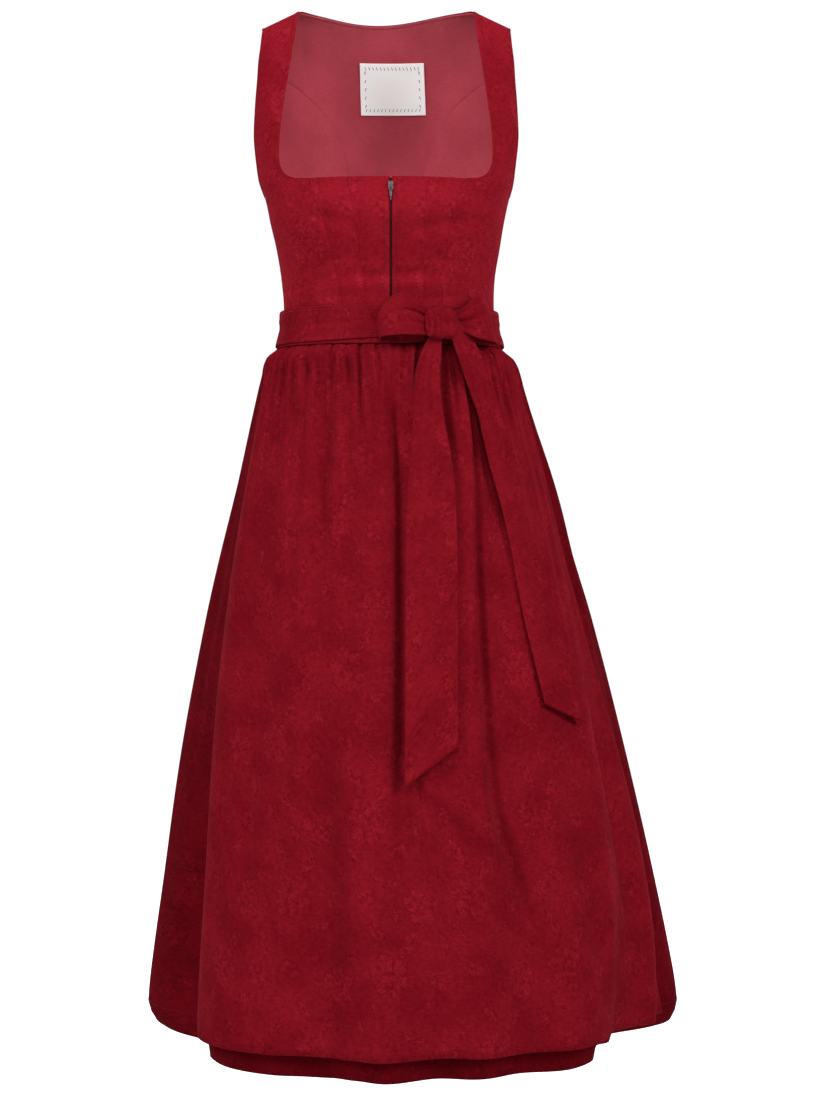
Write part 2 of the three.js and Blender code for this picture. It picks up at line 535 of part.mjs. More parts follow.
add("apron_tie_left", tie(TIE_LEFT, -1), apronCloth);
add("apron_tie_right", tie(TIE_RIGHT, 1), apronCloth);

// ---------- the bow ----------
// The knot: cloth pulled tight round the crossing, rounded and a little boxy.
const KNOT = { angle: 24, lift: 20, z: -368.5, acrossDegrees: 9.6, thick: 12.4, tall: 18.5, boxy: 0.62 };
function knotGeometry() {
  const geometry = new THREE.SphereGeometry(1, 16, 10);
  geometry.deleteAttribute("uv");
  geometry.deleteAttribute("normal");
  const position = geometry.getAttribute("position");
  for (let i = 0; i < position.count; i++) {
    const across = power(position.getX(i), KNOT.boxy);
    const out = power(position.getZ(i), KNOT.boxy);
    const up = power(position.getY(i), KNOT.boxy);
    const round = Math.max(1, Math.hypot(across, out, up) / 1.25);
    const angle = KNOT.angle + (across / round) * KNOT.acrossDegrees;
    const point = bandPoint(angle, KNOT.z + (up / round) * KNOT.tall, KNOT.lift + (out / round) * KNOT.thick);
    position.setXYZ(i, point.x, point.y, point.z);
  }
  geometry.computeVertexNormals();
  return geometry;
}
add("bow_knot", knotGeometry(), apronCloth);

// Each loop leaves the knot in front, turns at its end and comes back behind. lift: how far the
// cloth's middle stands off the form, top and bottom: its two edges.
const LOOP_LEFT = [
  { angle: 14.15, lift: 21, top: -352, bottom: -383.5 },
  { angle: 10.5, lift: 28, top: -346, bottom: -384.5 },
  { angle: 6, lift: 32, top: -337, bottom: -385.5 },
  { angle: 1, lift: 33, top: -330, bottom: -386 },
  { angle: -3.5, lift: 29, top: -329, bottom: -386 },
  { angle: -6.3, lift: 22, top: -332, bottom: -385.5 },
  { angle: -6.2, lift: 15, top: -337, bottom: -385 },
  { angle: -3, lift: 10.5, top: -341, bottom: -385 },
  { angle: 2, lift: 9.4, top: -344, bottom: -385 },
  { angle: 8, lift: 9.4, top: -348, bottom: -384 },
  { angle: 14.15, lift: 12, top: -353, bottom: -383 },
];
const LOOP_RIGHT = [
  { angle: 33.85, lift: 20, top: -357, bottom: -376 },
  { angle: 39, lift: 24, top: -350, bottom: -381 },
  { angle: 46, lift: 27, top: -342, bottom: -385 },
  { angle: 55, lift: 26, top: -334, bottom: -386.5 },
  { angle: 64, lift: 21, top: -329, bottom: -387 },
  { angle: 71, lift: 16, top: -328, bottom: -387.5 },
  { angle: 75, lift: 12.6, top: -331, bottom: -387.5 },
  { angle: 73, lift: 9.6, top: -336, bottom: -387 },
  { angle: 64, lift: 9.4, top: -340, bottom: -386.5 },
  { angle: 52, lift: 9.4, top: -346, bottom: -385 },
  { angle: 42, lift: 10, top: -351, bottom: -382 },
  { angle: 33.85, lift: 13, top: -356, bottom: -377 },
];
function loop(rows, facing) {
  const spine = rows.map((row) => bandPoint(row.angle, BAND_MIDDLE, row.lift));
  const wallRows = [1, 0.66, 0.33, 0].map((share) =>
    rows.map((row, i) => {
      const before = spine[Math.max(i - 1, 0)];
      const after = spine[Math.min(i + 1, rows.length - 1)];
      const along = after.clone().sub(before).setZ(0).normalize();
      const out = new THREE.Vector3(along.y, -along.x, 0).multiplyScalar((facing * TIE_WALL) / 2);
      const z = THREE.MathUtils.lerp(row.bottom, row.top, share);
      const point = bandPoint(row.angle, z, row.lift);
      return [point.clone().add(out), point.clone().sub(out)];
    }));
  return wall(facing > 0 ? wallRows : wallRows.map((row) => row.toReversed()));
}
add("bow_loop_left", loop(LOOP_LEFT, -1), apronCloth);
add("bow_loop_right", loop(LOOP_RIGHT, 1), apronCloth);

// Each tail hangs from the knot down the apron. left and right: its two edges, lift: how much further
// than the apron it stands off.
const TAIL_LEFT = [
  { leftZ: -390.5, left: 40, rightZ: -390.5, right: 57, lift: 7 },
  { leftZ: -405, left: 34, rightZ: -405, right: 58, lift: 5 },
  { leftZ: -425, left: 30.5, rightZ: -425, right: 56.5, lift: 2.5 },
  { leftZ: -455, left: 27, rightZ: -455, right: 57.5, lift: 1 },
  { leftZ: -490, left: 25, rightZ: -487, right: 62, lift: 0.5 },
  { leftZ: -545, left: 21, rightZ: -540, right: 71, lift: 0 },
  { leftZ: -610, left: 18.5, rightZ: -600, right: 74, lift: 0 },
  { leftZ: -700, left: 18, rightZ: -680, right: 74.5, lift: 0.5 },
  { leftZ: -790, left: 18, rightZ: -760, right: 74, lift: 1 },
  { leftZ: -871, left: 18, rightZ: -829, right: 73.5, lift: 2 },
];
const TAIL_RIGHT = [
  { leftZ: -390.5, left: 60, rightZ: -390.5, right: 86, lift: 8 },
  { leftZ: -405, left: 66, rightZ: -402, right: 97, lift: 6 },
  { leftZ: -430, left: 80, rightZ: -427, right: 110, lift: 3 },
  { leftZ: -472, left: 97, rightZ: -466, right: 122, lift: 1 },
  { leftZ: -520, left: 108, rightZ: -512, right: 134, lift: 0 },
  { leftZ: -590, left: 127, rightZ: -590, right: 155, lift: -1 },
  { leftZ: -680, left: 143.5, rightZ: -685, right: 184, lift: -1 },
  { leftZ: -735, left: 154, rightZ: -748, right: 194, lift: 2 },
  { leftZ: -787, left: 165, rightZ: -808, right: 207, lift: 4 },
];
const TAIL_STEPS = 4;
function tail(rows) {
  return wall(rows.map((row) =>
    Array.from({ length: TAIL_STEPS + 1 }, (_, j) => {
      const t = j / TAIL_STEPS;
      const x = THREE.MathUtils.lerp(row.left, row.right, t);
      const z = THREE.MathUtils.lerp(row.leftZ, row.rightZ, t);
      const rest = apronOut(z) + LAYER_GAP + 1.1 * column(GATHER_DEPTH, z, "deep") + row.lift;
      const angle = angleAt(x, z);
      return [formPoint(angle, z, rest + TIE_WALL), formPoint(angle, z, rest)];
    })));
}
add("bow_tail_left", tail(TAIL_LEFT), apronCloth);
add("bow_tail_right", tail(TAIL_RIGHT), apronCloth);

// ---------- zip ----------
const ZIP_BOTTOM = -371;
const TAPE = { wide: 13, wall: 1 };
const CHAIN = { wide: 3.8, proud: 0.1, wall: 1.5 };
const zipHeights = [-206.5, -222, -245, -270, -300, -335, ZIP_BOTTOM];
const zipStrip = (left, right, from, to) =>
  wall(zipHeights.map((z) => [left, right].map((x) => {
    const angle = angleAt(ZIP_X + x, z);
    return [bodiceLayer(angle, z, -from), bodiceLayer(angle, z, -to)];
  })));
const chainEdge = CHAIN.wide / 2;
const between = SEAM_GAP / 2;
add("zip_tape_left", zipStrip(-TAPE.wide, -between, underCloth, underCloth + TAPE.wall), zipTape);
add("zip_tape_right", zipStrip(between, TAPE.wide, underCloth, underCloth + TAPE.wall), zipTape);
add("zip_chain", zipStrip(-chainEdge, chainEdge, -CHAIN.proud, CHAIN.wall - CHAIN.proud), zipTape);

// The slider: a plate that runs on the chain, with a bridge for the pull's eye.
const SLIDER = { z: -216, wide: 6.6, tall: 9.6, thick: 1.5, corner: 1.6 };
const BRIDGE = { long: 6.6, high: 3.4, bar: 1.1, wide: 1.5 };
const PULL = { eye: 1.2, thick: 1, arm: 1.1, inside: 2.8, window: 4.9, long: 15.5, tip: 2.2 };
const sliderBack = bodicePoint(angleAt(ZIP_X, SLIDER.z - SLIDER.tall / 2), SLIDER.z - SLIDER.tall / 2).y - 0.5;
const sliderFront = sliderBack - SLIDER.thick;
const PULL_AXIS = new THREE.Vector3(ZIP_X, sliderFront - (BRIDGE.high - BRIDGE.bar) / 2, SLIDER.z - 0.6);

const wasm = await Module();
wasm.setup();
function solid(geometry) {
  const position = geometry.getAttribute("position");
  const merged = new Map();
  const vertices = [];
  const triangles = [];
  for (let i = 0; i < position.count; i++) {
    const point = [position.getX(i), position.getY(i), position.getZ(i)];
    const key = point.map((v) => v.toFixed(4)).join();
    if (!merged.has(key)) {
      merged.set(key, vertices.length / 3);
      vertices.push(...point);
    }
    triangles.push(merged.get(key));
  }
  return new wasm.Manifold(new wasm.Mesh({
    numProp: 3, vertProperties: new Float32Array(vertices), triVerts: new Uint32Array(triangles) }));
}
function geometryOf(manifold) {
  const { vertProperties, triVerts } = manifold.getMesh();
  const geometry = new THREE.BufferGeometry();
  geometry.setAttribute("position", new THREE.BufferAttribute(vertProperties, 3));
  geometry.setIndex(new THREE.BufferAttribute(triVerts, 1));
  geometry.computeVertexNormals();
  return geometry;
}
function roundedPlate(wide, tall, corner) {
  const [x, y] = [wide / 2, tall / 2];
  return new THREE.Shape()
    .moveTo(-x + corner, -y).lineTo(x - corner, -y).quadraticCurveTo(x, -y, x, -y + corner)
    .lineTo(x, y - corner).quadraticCurveTo(x, y, x - corner, y).lineTo(-x + corner, y)
    .quadraticCurveTo(-x, y, -x, y - corner).lineTo(-x, -y + corner).quadraticCurveTo(-x, -y, -x + corner, -y);
}
const extrude = (shape, depth, curveSegments = 3) =>
  new THREE.ExtrudeGeometry(shape, { depth, bevelEnabled: false, curveSegments });

// Plate: drawn in X and Z, thickness towards the front.
const plate = extrude(roundedPlate(SLIDER.wide, SLIDER.tall, SLIDER.corner), SLIDER.thick)
  .rotateX(Math.PI / 2).translate(ZIP_X, sliderBack, SLIDER.z);
// Bridge: an arch drawn in Y and Z, thickness along X.
const arch = new THREE.Shape()
  .moveTo(0.3, -BRIDGE.long / 2).lineTo(-BRIDGE.high + 0.8, -BRIDGE.long / 2)
  .lineTo(-BRIDGE.high, -BRIDGE.long / 2 + 0.8).lineTo(-BRIDGE.high, BRIDGE.long / 2 - 0.8)
  .lineTo(-BRIDGE.high + 0.8, BRIDGE.long / 2).lineTo(0.3, BRIDGE.long / 2)
  .lineTo(0.3, BRIDGE.long / 2 - BRIDGE.bar).lineTo(-BRIDGE.high + BRIDGE.bar, BRIDGE.long / 2 - BRIDGE.bar)
  .lineTo(-BRIDGE.high + BRIDGE.bar, -BRIDGE.long / 2 + BRIDGE.bar).lineTo(0.3, -BRIDGE.long / 2 + BRIDGE.bar);
const bridge = extrude(arch, BRIDGE.wide)
  .applyMatrix4(new THREE.Matrix4().makeBasis(
    new THREE.Vector3(0, 1, 0), new THREE.Vector3(0, 0, 1), new THREE.Vector3(1, 0, 0)))
  .translate(ZIP_X - BRIDGE.wide / 2, sliderFront, SLIDER.z);
add("zip_slider", geometryOf(solid(plate).add(solid(bridge))), metal);

// The pull hangs by its eye bar under the bridge: a flat tab with a window.
const armOut = PULL.inside / 2 + PULL.arm;
const pullShape = new THREE.Shape()
  .moveTo(-armOut, 0).lineTo(-armOut, -PULL.window - 0.6).lineTo(-PULL.tip / 2, -PULL.long + 1)
  .lineTo(-PULL.tip / 4, -PULL.long).lineTo(PULL.tip / 4, -PULL.long).lineTo(PULL.tip / 2, -PULL.long + 1)
  .lineTo(armOut, -PULL.window - 0.6).lineTo(armOut, 0).lineTo(armOut - 0.5, PULL.eye / 2)
  .lineTo(-armOut + 0.5, PULL.eye / 2);
pullShape.holes.push(new THREE.Path()
  .moveTo(-PULL.inside / 2, -PULL.eye / 2).lineTo(-PULL.inside / 2, -PULL.window)
  .lineTo(PULL.inside / 2, -PULL.window).lineTo(PULL.inside / 2, -PULL.eye / 2));
const pull = extrude(pullShape, PULL.thick).translate(0, 0, -PULL.thick / 2).rotateX(Math.PI / 2)
  .translate(PULL_AXIS.x, PULL_AXIS.y, PULL_AXIS.z);
add("zip_pull", pull, metal);

export default dirndl;
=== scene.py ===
"""A midi dirndl in crimson flower jacquard with its tied apron, filled out and hollow."""
import math

import bmesh
import bpy
import numpy as np
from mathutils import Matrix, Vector


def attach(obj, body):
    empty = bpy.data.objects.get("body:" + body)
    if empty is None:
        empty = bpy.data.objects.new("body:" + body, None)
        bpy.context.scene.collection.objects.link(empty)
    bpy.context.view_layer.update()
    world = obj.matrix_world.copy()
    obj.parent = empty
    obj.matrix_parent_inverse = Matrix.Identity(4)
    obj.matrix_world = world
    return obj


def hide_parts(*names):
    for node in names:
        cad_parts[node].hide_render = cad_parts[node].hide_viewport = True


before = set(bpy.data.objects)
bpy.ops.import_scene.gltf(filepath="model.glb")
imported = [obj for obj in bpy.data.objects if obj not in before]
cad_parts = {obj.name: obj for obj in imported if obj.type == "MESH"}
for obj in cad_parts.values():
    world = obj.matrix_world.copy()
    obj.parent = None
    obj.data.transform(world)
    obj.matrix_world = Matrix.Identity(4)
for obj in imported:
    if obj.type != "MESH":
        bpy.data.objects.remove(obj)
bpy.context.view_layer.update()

# ---------------------------------------------------------------------------------------------
# Studio: a pale floor at the height the wearer would stand on, a white surround, and soft
# light from large panels. The camera looks straight at the front from three metres away.
# ---------------------------------------------------------------------------------------------
FLOOR_HEIGHT = -1.38
FLOOR_RADIUS = 14.0

scene = bpy.context.scene
scene.view_settings.view_transform = "Standard"
scene.view_settings.look = "None"

camera_data = bpy.data.cameras.new("camera")
camera_data.sensor_width = 36.0
camera_data.lens = 85.4
camera = bpy.data.objects.new("camera", camera_data)
camera.location = (0.026, -3.0, -0.619)
camera.rotation_euler = (math.radians(90.0), 0.0, 0.0)
scene.collection.objects.link(camera)
scene.camera = camera


def node(tree, kind, feeds=None, **settings):
    """Adds a shader node. feeds gives an input's name or number the value or the socket for it."""
    made = tree.nodes.new(kind)
    for name, value in settings.items():
        setattr(made, name, value)
    for name, value in (feeds or {}).items():
        socket = made.inputs[name]
        if isinstance(value, bpy.types.NodeSocket):
            tree.links.new(value, socket)
        else:
            socket.default_value = value
    return made


def blank_material(name):
    """A material with only its output node."""
    material = bpy.data.materials.new(name)
    material.use_nodes = True
    material.node_tree.nodes.clear()
    output = node(material.node_tree, "ShaderNodeOutputMaterial")
    return material, material.node_tree, output


def floor_disc():
    """A flat ring-and-spoke disc: radius times (cosine, sine) at the floor's height."""
    turn = np.linspace(0.0, 2.0 * np.pi, 64, endpoint=False)
    points = np.stack([np.cos(turn), np.sin(turn), np.zeros(64)], axis=1) * FLOOR_RADIUS
    points[:, 2] = FLOOR_HEIGHT
    mesh = bpy.data.meshes.new("floor")
    mesh.from_pydata(points.tolist(), [], [list(range(64))])
    return bpy.data.objects.new("floor", mesh)


floor = floor_disc()
scene.collection.objects.link(floor)
floor_paint, tree, output = blank_material("floor_paint")
mottle = node(tree, "ShaderNodeTexNoise", {
    "Vector": node(tree, "ShaderNodeTexCoord").outputs["Object"], "Scale": 3.0, "Detail": 2.0})
tone = node(tree, "ShaderNodeMapRange", {"Value": mottle.outputs["Fac"], "To Min": 0.56, "To Max": 0.60})
# To the eye the floor is lit through like the surround, so the two meet without a line.
seen = node(tree, "ShaderNodeLightPath").outputs["Is Camera Ray"]
glow = node(tree, "ShaderNodeMapRange", {"Value": seen, "To Min": 0.06, "To Max": 1.0})
shader = node(tree, "ShaderNodeBsdfPrincipled", {
    "Base Color": tone.outputs["Result"], "Roughness": 0.9, "Emission Color": (1.0, 1.0, 1.0, 1.0),
    "Emission Strength": glow.outputs["Result"], "Specular IOR Level": 0.0})
tree.links.new(shader.outputs["BSDF"], output.inputs["Surface"])
floor.data.materials.append(floor_paint)

# The surround is white to the eye and sheds a dimmer light, so that folds keep their shade.
surround = bpy.data.worlds.new("surround")
surround.use_nodes = True
tree = surround.node_tree
tree.nodes.clear()
seen = node(tree, "ShaderNodeLightPath").outputs["Is Camera Ray"]
strength = node(tree, "ShaderNodeMapRange", {"Value": seen, "To Min": 0.15, "To Max": 1.05})
sky = node(tree, "ShaderNodeBackground", {
    "Color": (1.0, 1.0, 1.0, 1.0), "Strength": strength.outputs["Result"]})
output = node(tree, "ShaderNodeOutputWorld", {"Surface": sky.outputs["Background"]})
scene.world = surround

# Soft panels: where each stands, its side in metres and its power in watts. All look at one point.
PANELS = (
    ("panel_front", (0.0, -2.9, 1.2), 1.2, 23.0),
    ("panel_right", (2.3, -1.9, 0.9), 1.2, 49.0),
    ("panel_left", (-2.4, -1.9, 0.9), 1.2, 51.0),
    ("panel_top", (0.0, -0.8, 2.2), 1.3, 14.0),
    ("panel_back_right", (1.9, 2.7, 0.8), 1.4, 54.0),
    ("panel_back_left", (-1.6, 2.9, 0.8), 1.4, 42.0),
)
LOOK_AT = Vector((0.0, 0.0, -0.36))
for name, place, side, power in PANELS:
    lamp = bpy.data.lights.new(name, "AREA")
    lamp.shape = "SQUARE"
    lamp.size = side
    lamp.energy = power
    panel_lamp = bpy.data.objects.new(name, lamp)
    panel_lamp.location = place
    panel_lamp.rotation_euler = (LOOK_AT - Vector(place)).to_track_quat("-Z", "Y").to_euler()
    scene.collection.objects.link(panel_lamp)

# ---------------------------------------------------------------------------------------------
# Bodice: six front panels and three back ones of interlined crimson jacquard, seamed together
# and faced with plain lining. The side panels run on as the wide straps, the back rises to a
# high neck, and every edge is turned and stitched. Lengths in these tables are millimetres.
# ---------------------------------------------------------------------------------------------
MM = 0.001
SEAM_LAP = 0.35
BODICE_WALL = 1.4
LINING_WALL = 1.0
UNDER_CLOTH = BODICE_WALL + 0.3
WAIST_HEIGHT = -375.0
SHOULDER_SEAM = -0.025
SHOULDER_INNER = 100.0
SHOULDER_OUTER = 145.0
SHOULDER_DROP = 21.0
NECK_LIFT = 30.0
STRAP_SHIFT = -4.0
ZIP_X = 2.0
ZIP_OPENING = 3.6
EDGE_STITCH = 4.2


def table(names, rows):
    """Columns by name, with a column 'row' that numbers the rows."""
    columns = dict(zip(names.split(), np.array(rows, dtype=float).T))
    columns["row"] = np.arange(len(rows), dtype=float)
    return columns


FORM = table("z half front back shift_x shift_y round", (
    (0, 147, 0, 0, -4, 0, 0.88), (-1.5, 147, 10, 11, -4, 0, 0.88), (-5.5, 148, 20, 21, -4, 0, 0.88),
    (-13, 149, 30, 33, -4, 0, 0.88), (-26, 150, 42, 47, -4, 0, 0.88), (-50, 152, 58, 66, -4, 0, 0.88),
    (-80, 153, 73, 81, -4, 0, 0.88), (-120, 155, 88, 92, -4, 0, 0.88),
    (-155, 155, 100, 97, -4, 0, 0.88),
    (-194, 148, 111, 97, -4, 0, 0.88), (-217, 140, 116, 95, -3, 0, 0.88),
    (-245, 134, 118, 91, -3, 0, 0.88),
    (-275, 128, 109, 87, -2, 0, 0.88), (-309, 122.5, 99, 84, -2, 0, 0.88),
    (-345, 120.5, 94, 84, -1, 0, 0.88),
    (-375, 122, 94, 86, 0, 0, 0.88), (-389, 127, 98, 91, 0, 0, 0.89), (-401, 139, 106, 101, 0, 1, 0.91),
    (-424, 148, 113, 106, 2, 3, 0.94), (-493, 170, 134, 124, 5, 7, 1), (-562, 189, 156, 142, 8, 12, 1),
    (-630, 206, 179, 160, 10, 17, 1), (-699, 223, 202, 178, 13, 22, 1),
    (-837, 253, 244, 212, 17, 31, 1),
    (-975, 279, 286, 242, 22, 39, 1), (-1113, 303, 326, 264, 25, 44, 1),
    (-1174, 309, 342, 270, 26, 45, 1)))


def along(columns, name, at, key="z"):
    """A table's column where its key column is at: a cubic Hermite curve through the rows, whose
    slope at a row is the slope between the rows beside it. Past the ends the end row holds."""
    knots, values = columns[key], columns[name]
    if knots[0] > knots[-1]:
        knots, values = knots[::-1], values[::-1]
    count = len(knots)
    before = np.maximum(np.arange(count) - 1, 0)
    after = np.minimum(np.arange(count) + 1, count - 1)
    slope = (values[after] - values[before]) / (knots[after] - knots[before])
    at = np.clip(at, knots[0], knots[-1])
    i = np.clip(np.searchsorted(knots, at, side="right") - 1, 0, count - 2)
    step = knots[i + 1] - knots[i]
    t = (at - knots[i]) / step
    bend = t * (1 - t) * step * ((1 - t) * slope[i] - t * slope[i + 1])
    return values[i] + (values[i + 1] - values[i]) * t * t * (3 - 2 * t) + bend


def power(value, exponent):
    """The size of value to an exponent, with value's own sign."""
    return np.sign(value) * np.abs(value) ** exponent


def fade(value, start, end):
    """0 before start, 1 past end, and the cubic 3t^2 - 2t^3 between them."""
    t = np.clip((value - start) / (end - start), 0.0, 1.0)
    return t * t * (3 - 2 * t)


def bell(distance, wide):
    """exp(-(distance / wide)^2): 1 in the middle and nearly gone at two widths."""
    return np.exp(-(distance / wide) ** 2)


def evenly(columns, count):
    """A reader of a table's columns at even steps down its rows."""
    row = np.linspace(0, columns["row"][-1], count)
    return lambda name: along(columns, name, row, "row")


def form(angle, z, lift=0.0):
    """The filled-out form at an angle from the front: a level superellipse whose half width and
    depth come from FORM, moved out by lift along the level normal of the plain ellipse."""
    angle, z, lift = np.broadcast_arrays(angle, z, lift)
    sine, cosine = np.sin(np.radians(angle)), np.cos(np.radians(angle))
    half, bend = along(FORM, "half", z), along(FORM, "round", z)
    depth = np.where(cosine < 0, along(FORM, "back", z), along(FORM, "front", z))
    reach = np.maximum(np.hypot(depth * sine, half * cosine), 1e-9)
    x = along(FORM, "shift_x", z) + half * power(sine, bend) + lift * depth * sine / reach
    y = along(FORM, "shift_y", z) - depth * power(cosine, bend) - lift * half * cosine / reach
    return np.stack([x, y, z], axis=-1)


def angle_at(x, z, back=False):
    """The angle on the front, or the back, where the form lies x to the right of the origin."""
    reach = power((x - along(FORM, "shift_x", z)) / along(FORM, "half", z), 1 / along(FORM, "round", z))
    angle = np.degrees(np.arcsin(np.clip(reach, -1.0, 1.0)))
    return 180.0 - angle if back else angle


def bodice(angle, z):
    """The form, lowered towards the shoulder's end and raised by a squared cosine at the neck."""
    point = form(angle, z)
    angle = np.broadcast_to(angle, point.shape[:-1])
    z = np.broadcast_to(z, point.shape[:-1])
    beyond = np.maximum(0.0, np.abs(point[..., 0] - along(FORM, "shift_x", z)) - SHOULDER_INNER)
    drop = SHOULDER_DROP * beyond / (SHOULDER_OUTER - SHOULDER_INNER)
    across = np.clip(point[..., 0] / SHOULDER_INNER, -1.0, 1.0)
    behind = np.cos(np.radians(angle)) < 0
    rise = np.where(behind, NECK_LIFT * np.cos(across * np.pi / 2) ** 2, 0.0)
    point[..., 2] += rise * fade(z, -150, -35) - drop * fade(z, -110, 0)
    return point


def bodice_off(angle, z, out):
    """A bodice point moved out along the surface's normal, found from four points beside it."""
    small = 0.5
    point = bodice(angle, z)
    up = bodice(angle, z + small) - bodice(angle, z - small)
    round_ = bodice(angle + small, z) - bodice(angle - small, z)
    normal = np.cross(round_, up)
    normal /= np.maximum(np.linalg.norm(normal, axis=-1, keepdims=True), 1e-9)
    at_top = (z > -small)[..., None]
    normal = np.where(at_top, (0.0, 0.0, 1.0), normal)
    return point + normal * np.asarray(out)[..., None]


def lengths(points, axis):
    """Distance run along an axis of a grid, from 0 at its first point."""
    step = np.linalg.norm(np.diff(points, axis=axis), axis=-1)
    pad = [(0, 0), (0, 0)]
    pad[axis] = (1, 0)
    return np.cumsum(np.pad(step, pad), axis=axis)


def flat_map(outer):
    """Metres across from each row's middle, and metres down the middle column."""
    across = lengths(outer, 1)
    across -= across[:, across.shape[1] // 2][:, None]
    down = lengths(outer, 0)[:, outer.shape[1] // 2]
    return np.stack([across, -np.broadcast_to(down[:, None], across.shape)], axis=-1) * MM


def rim_of(grid):
    """The border of a grid, once round: down the left, along the bottom, up the right, back."""
    return np.concatenate([grid[:-1, 0], grid[-1, :-1], grid[:0:-1, -1], grid[0, :0:-1]])


def pulled_in(face, rim):
    """A face whose border rows and then columns move a rim's width towards their neighbours."""
    face = face.copy()
    for view in (face, face.transpose(1, 0, 2)):
        for end, beside in ((0, 1), (-1, -2)):
            step = view[beside] - view[end]
            view[end] += step * rim / np.maximum(np.linalg.norm(step, axis=-1, keepdims=True), 1e-6)
    return face


def smooth_piece(name, points, faces, finishes):
    """A smoothly shaded mesh from points in millimetres and lists of their numbers."""
    mesh = bpy.data.meshes.new(name)
    mesh.from_pydata((points * MM).tolist(), [], faces)
    for finish in finishes:
        mesh.materials.append(finish)
    mesh.shade_smooth()
    made = bpy.data.objects.new(name, mesh)
    scene.collection.objects.link(made)
    return made


def lay_flat(made, flat_points):
    """The UV map "cut": where each vertex lies in the flat cut, in metres."""
    corners = np.empty(len(made.data.loops), dtype=np.int32)
    made.data.loops.foreach_get("vertex_index", corners)
    chart = made.data.uv_layers.new(name="cut")
    chart.data.foreach_set("uv", flat_points[corners].astype(np.float32).ravel())


def wall_of_cloth(name, outer, inner, finishes, rim=0.6, flat=None):
    """A closed wall between an outer and an inner grid of points (rows from the top, columns from
    the left as seen from outside). Both faces stop a rim's width short of the edge, and a ring at
    half depth reaches it, so the edge is round. The inner face takes the second finish."""
    rows, columns = outer.shape[:2]
    flat = flat_map(outer) if flat is None else flat
    ring = rim_of((outer + inner) / 2)
    number = np.arange(rows * columns).reshape(rows, columns)
    quads = np.stack([number[:-1, :-1], number[1:, :-1], number[1:, 1:], number[:-1, 1:]], -1)
    quads = quads.reshape(-1, 4)
    border = rim_of(number)
    back, middle = border + rows * columns, np.arange(len(border)) + 2 * rows * columns
    turn = lambda loop: np.roll(loop, -1)
    front_rim = np.stack([turn(border), border, middle, turn(middle)], -1)
    back_rim = np.stack([turn(middle), middle, back, turn(back)], -1)
    faces = np.concatenate([quads, front_rim, back_rim, quads[:, ::-1] + rows * columns])
    sides = [pulled_in(side, rim).reshape(-1, 3) for side in (outer, inner)]
    points = np.concatenate([*sides, ring])
    made = smooth_piece(name, points, faces.tolist(), finishes)
    lay_flat(made, np.concatenate([flat.reshape(-1, 2), flat.reshape(-1, 2), rim_of(flat)]))
    inside = np.arange(len(faces)) >= len(quads) + len(front_rim) + len(back_rim)
    made.data.polygons.foreach_set("material_index", (inside * (len(finishes) - 1)).astype(np.int32))
    return made


def sewn_on(piece, solid):
    """Puts a cloth piece on the garment in its solid's place."""
    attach(piece, "garment")
    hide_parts(solid)


def group(name, takes, gives):
    """An empty shader node group: its inputs with their values, and its outputs, all numbers."""
    tree = bpy.data.node_groups.new(name, "ShaderNodeTree")
    for label, value in takes.items():
        kind = "NodeSocketVector" if isinstance(value, tuple) else "NodeSocketFloat"
        tree.interface.new_socket(label, in_out="INPUT", socket_type=kind).default_value = value
    for label in gives:
        tree.interface.new_socket(label, in_out="OUTPUT", socket_type="NodeSocketFloat")
    return tree, tree.nodes.new("NodeGroupInput").outputs, tree.nodes.new("NodeGroupOutput").inputs


def placed(tree, made, feeds):
    """Places a node group in a tree and feeds its inputs."""
    return node(tree, "ShaderNodeGroup", feeds, node_tree=made).outputs


def calc(operation, *values):
    """One Math node in the tree that its first socket is in; returns its result."""
    tree = next(value.id_data for value in values if isinstance(value, bpy.types.NodeSocket))
    return node(tree, "ShaderNodeMath", dict(enumerate(values)), operation=operation).outputs[0]


def ramp(value, start, end, low=0.0, high=1.0):
    """A socket's value carried smoothly from start..end to low..high."""
    return node(value.id_data, "ShaderNodeMapRange", {
        "Value": value, "From Min": start, "From Max": end, "To Min": low, "To Max": high},
        interpolation_type="SMOOTHSTEP").outputs["Result"]


def mixed(share, first, second):
    """Two colours mixed by a socket's share."""
    return node(share.id_data, "ShaderNodeMix", {0: share, 6: first, 7: second},
                data_type="RGBA").outputs[2]


def times(colour, shade):
    """A colour socket darkened or lightened by a shade."""
    return node(colour.id_data, "ShaderNodeMix", {0: 1.0, 6: colour, 7: shade},
                data_type="RGBA", blend_type="MULTIPLY").outputs[2]


def axes_of(point):
    """The X, Y and Z of a vector socket."""
    return node(point.id_data, "ShaderNodeSeparateXYZ", {0: point}).outputs


def minus(point, other):
    """The difference of two vector sockets."""
    return node(point.id_data, "ShaderNodeVectorMath", {0: point, 1: other},
                operation="SUBTRACT").outputs[0]


def noise(tree, point, scale, detail, **more):
    """The grey value of a noise texture at a point."""
    feeds = {"Vector": point, "Scale": scale, "Detail": detail, **more}
    return node(tree, "ShaderNodeTexNoise", feeds).outputs["Fac"]


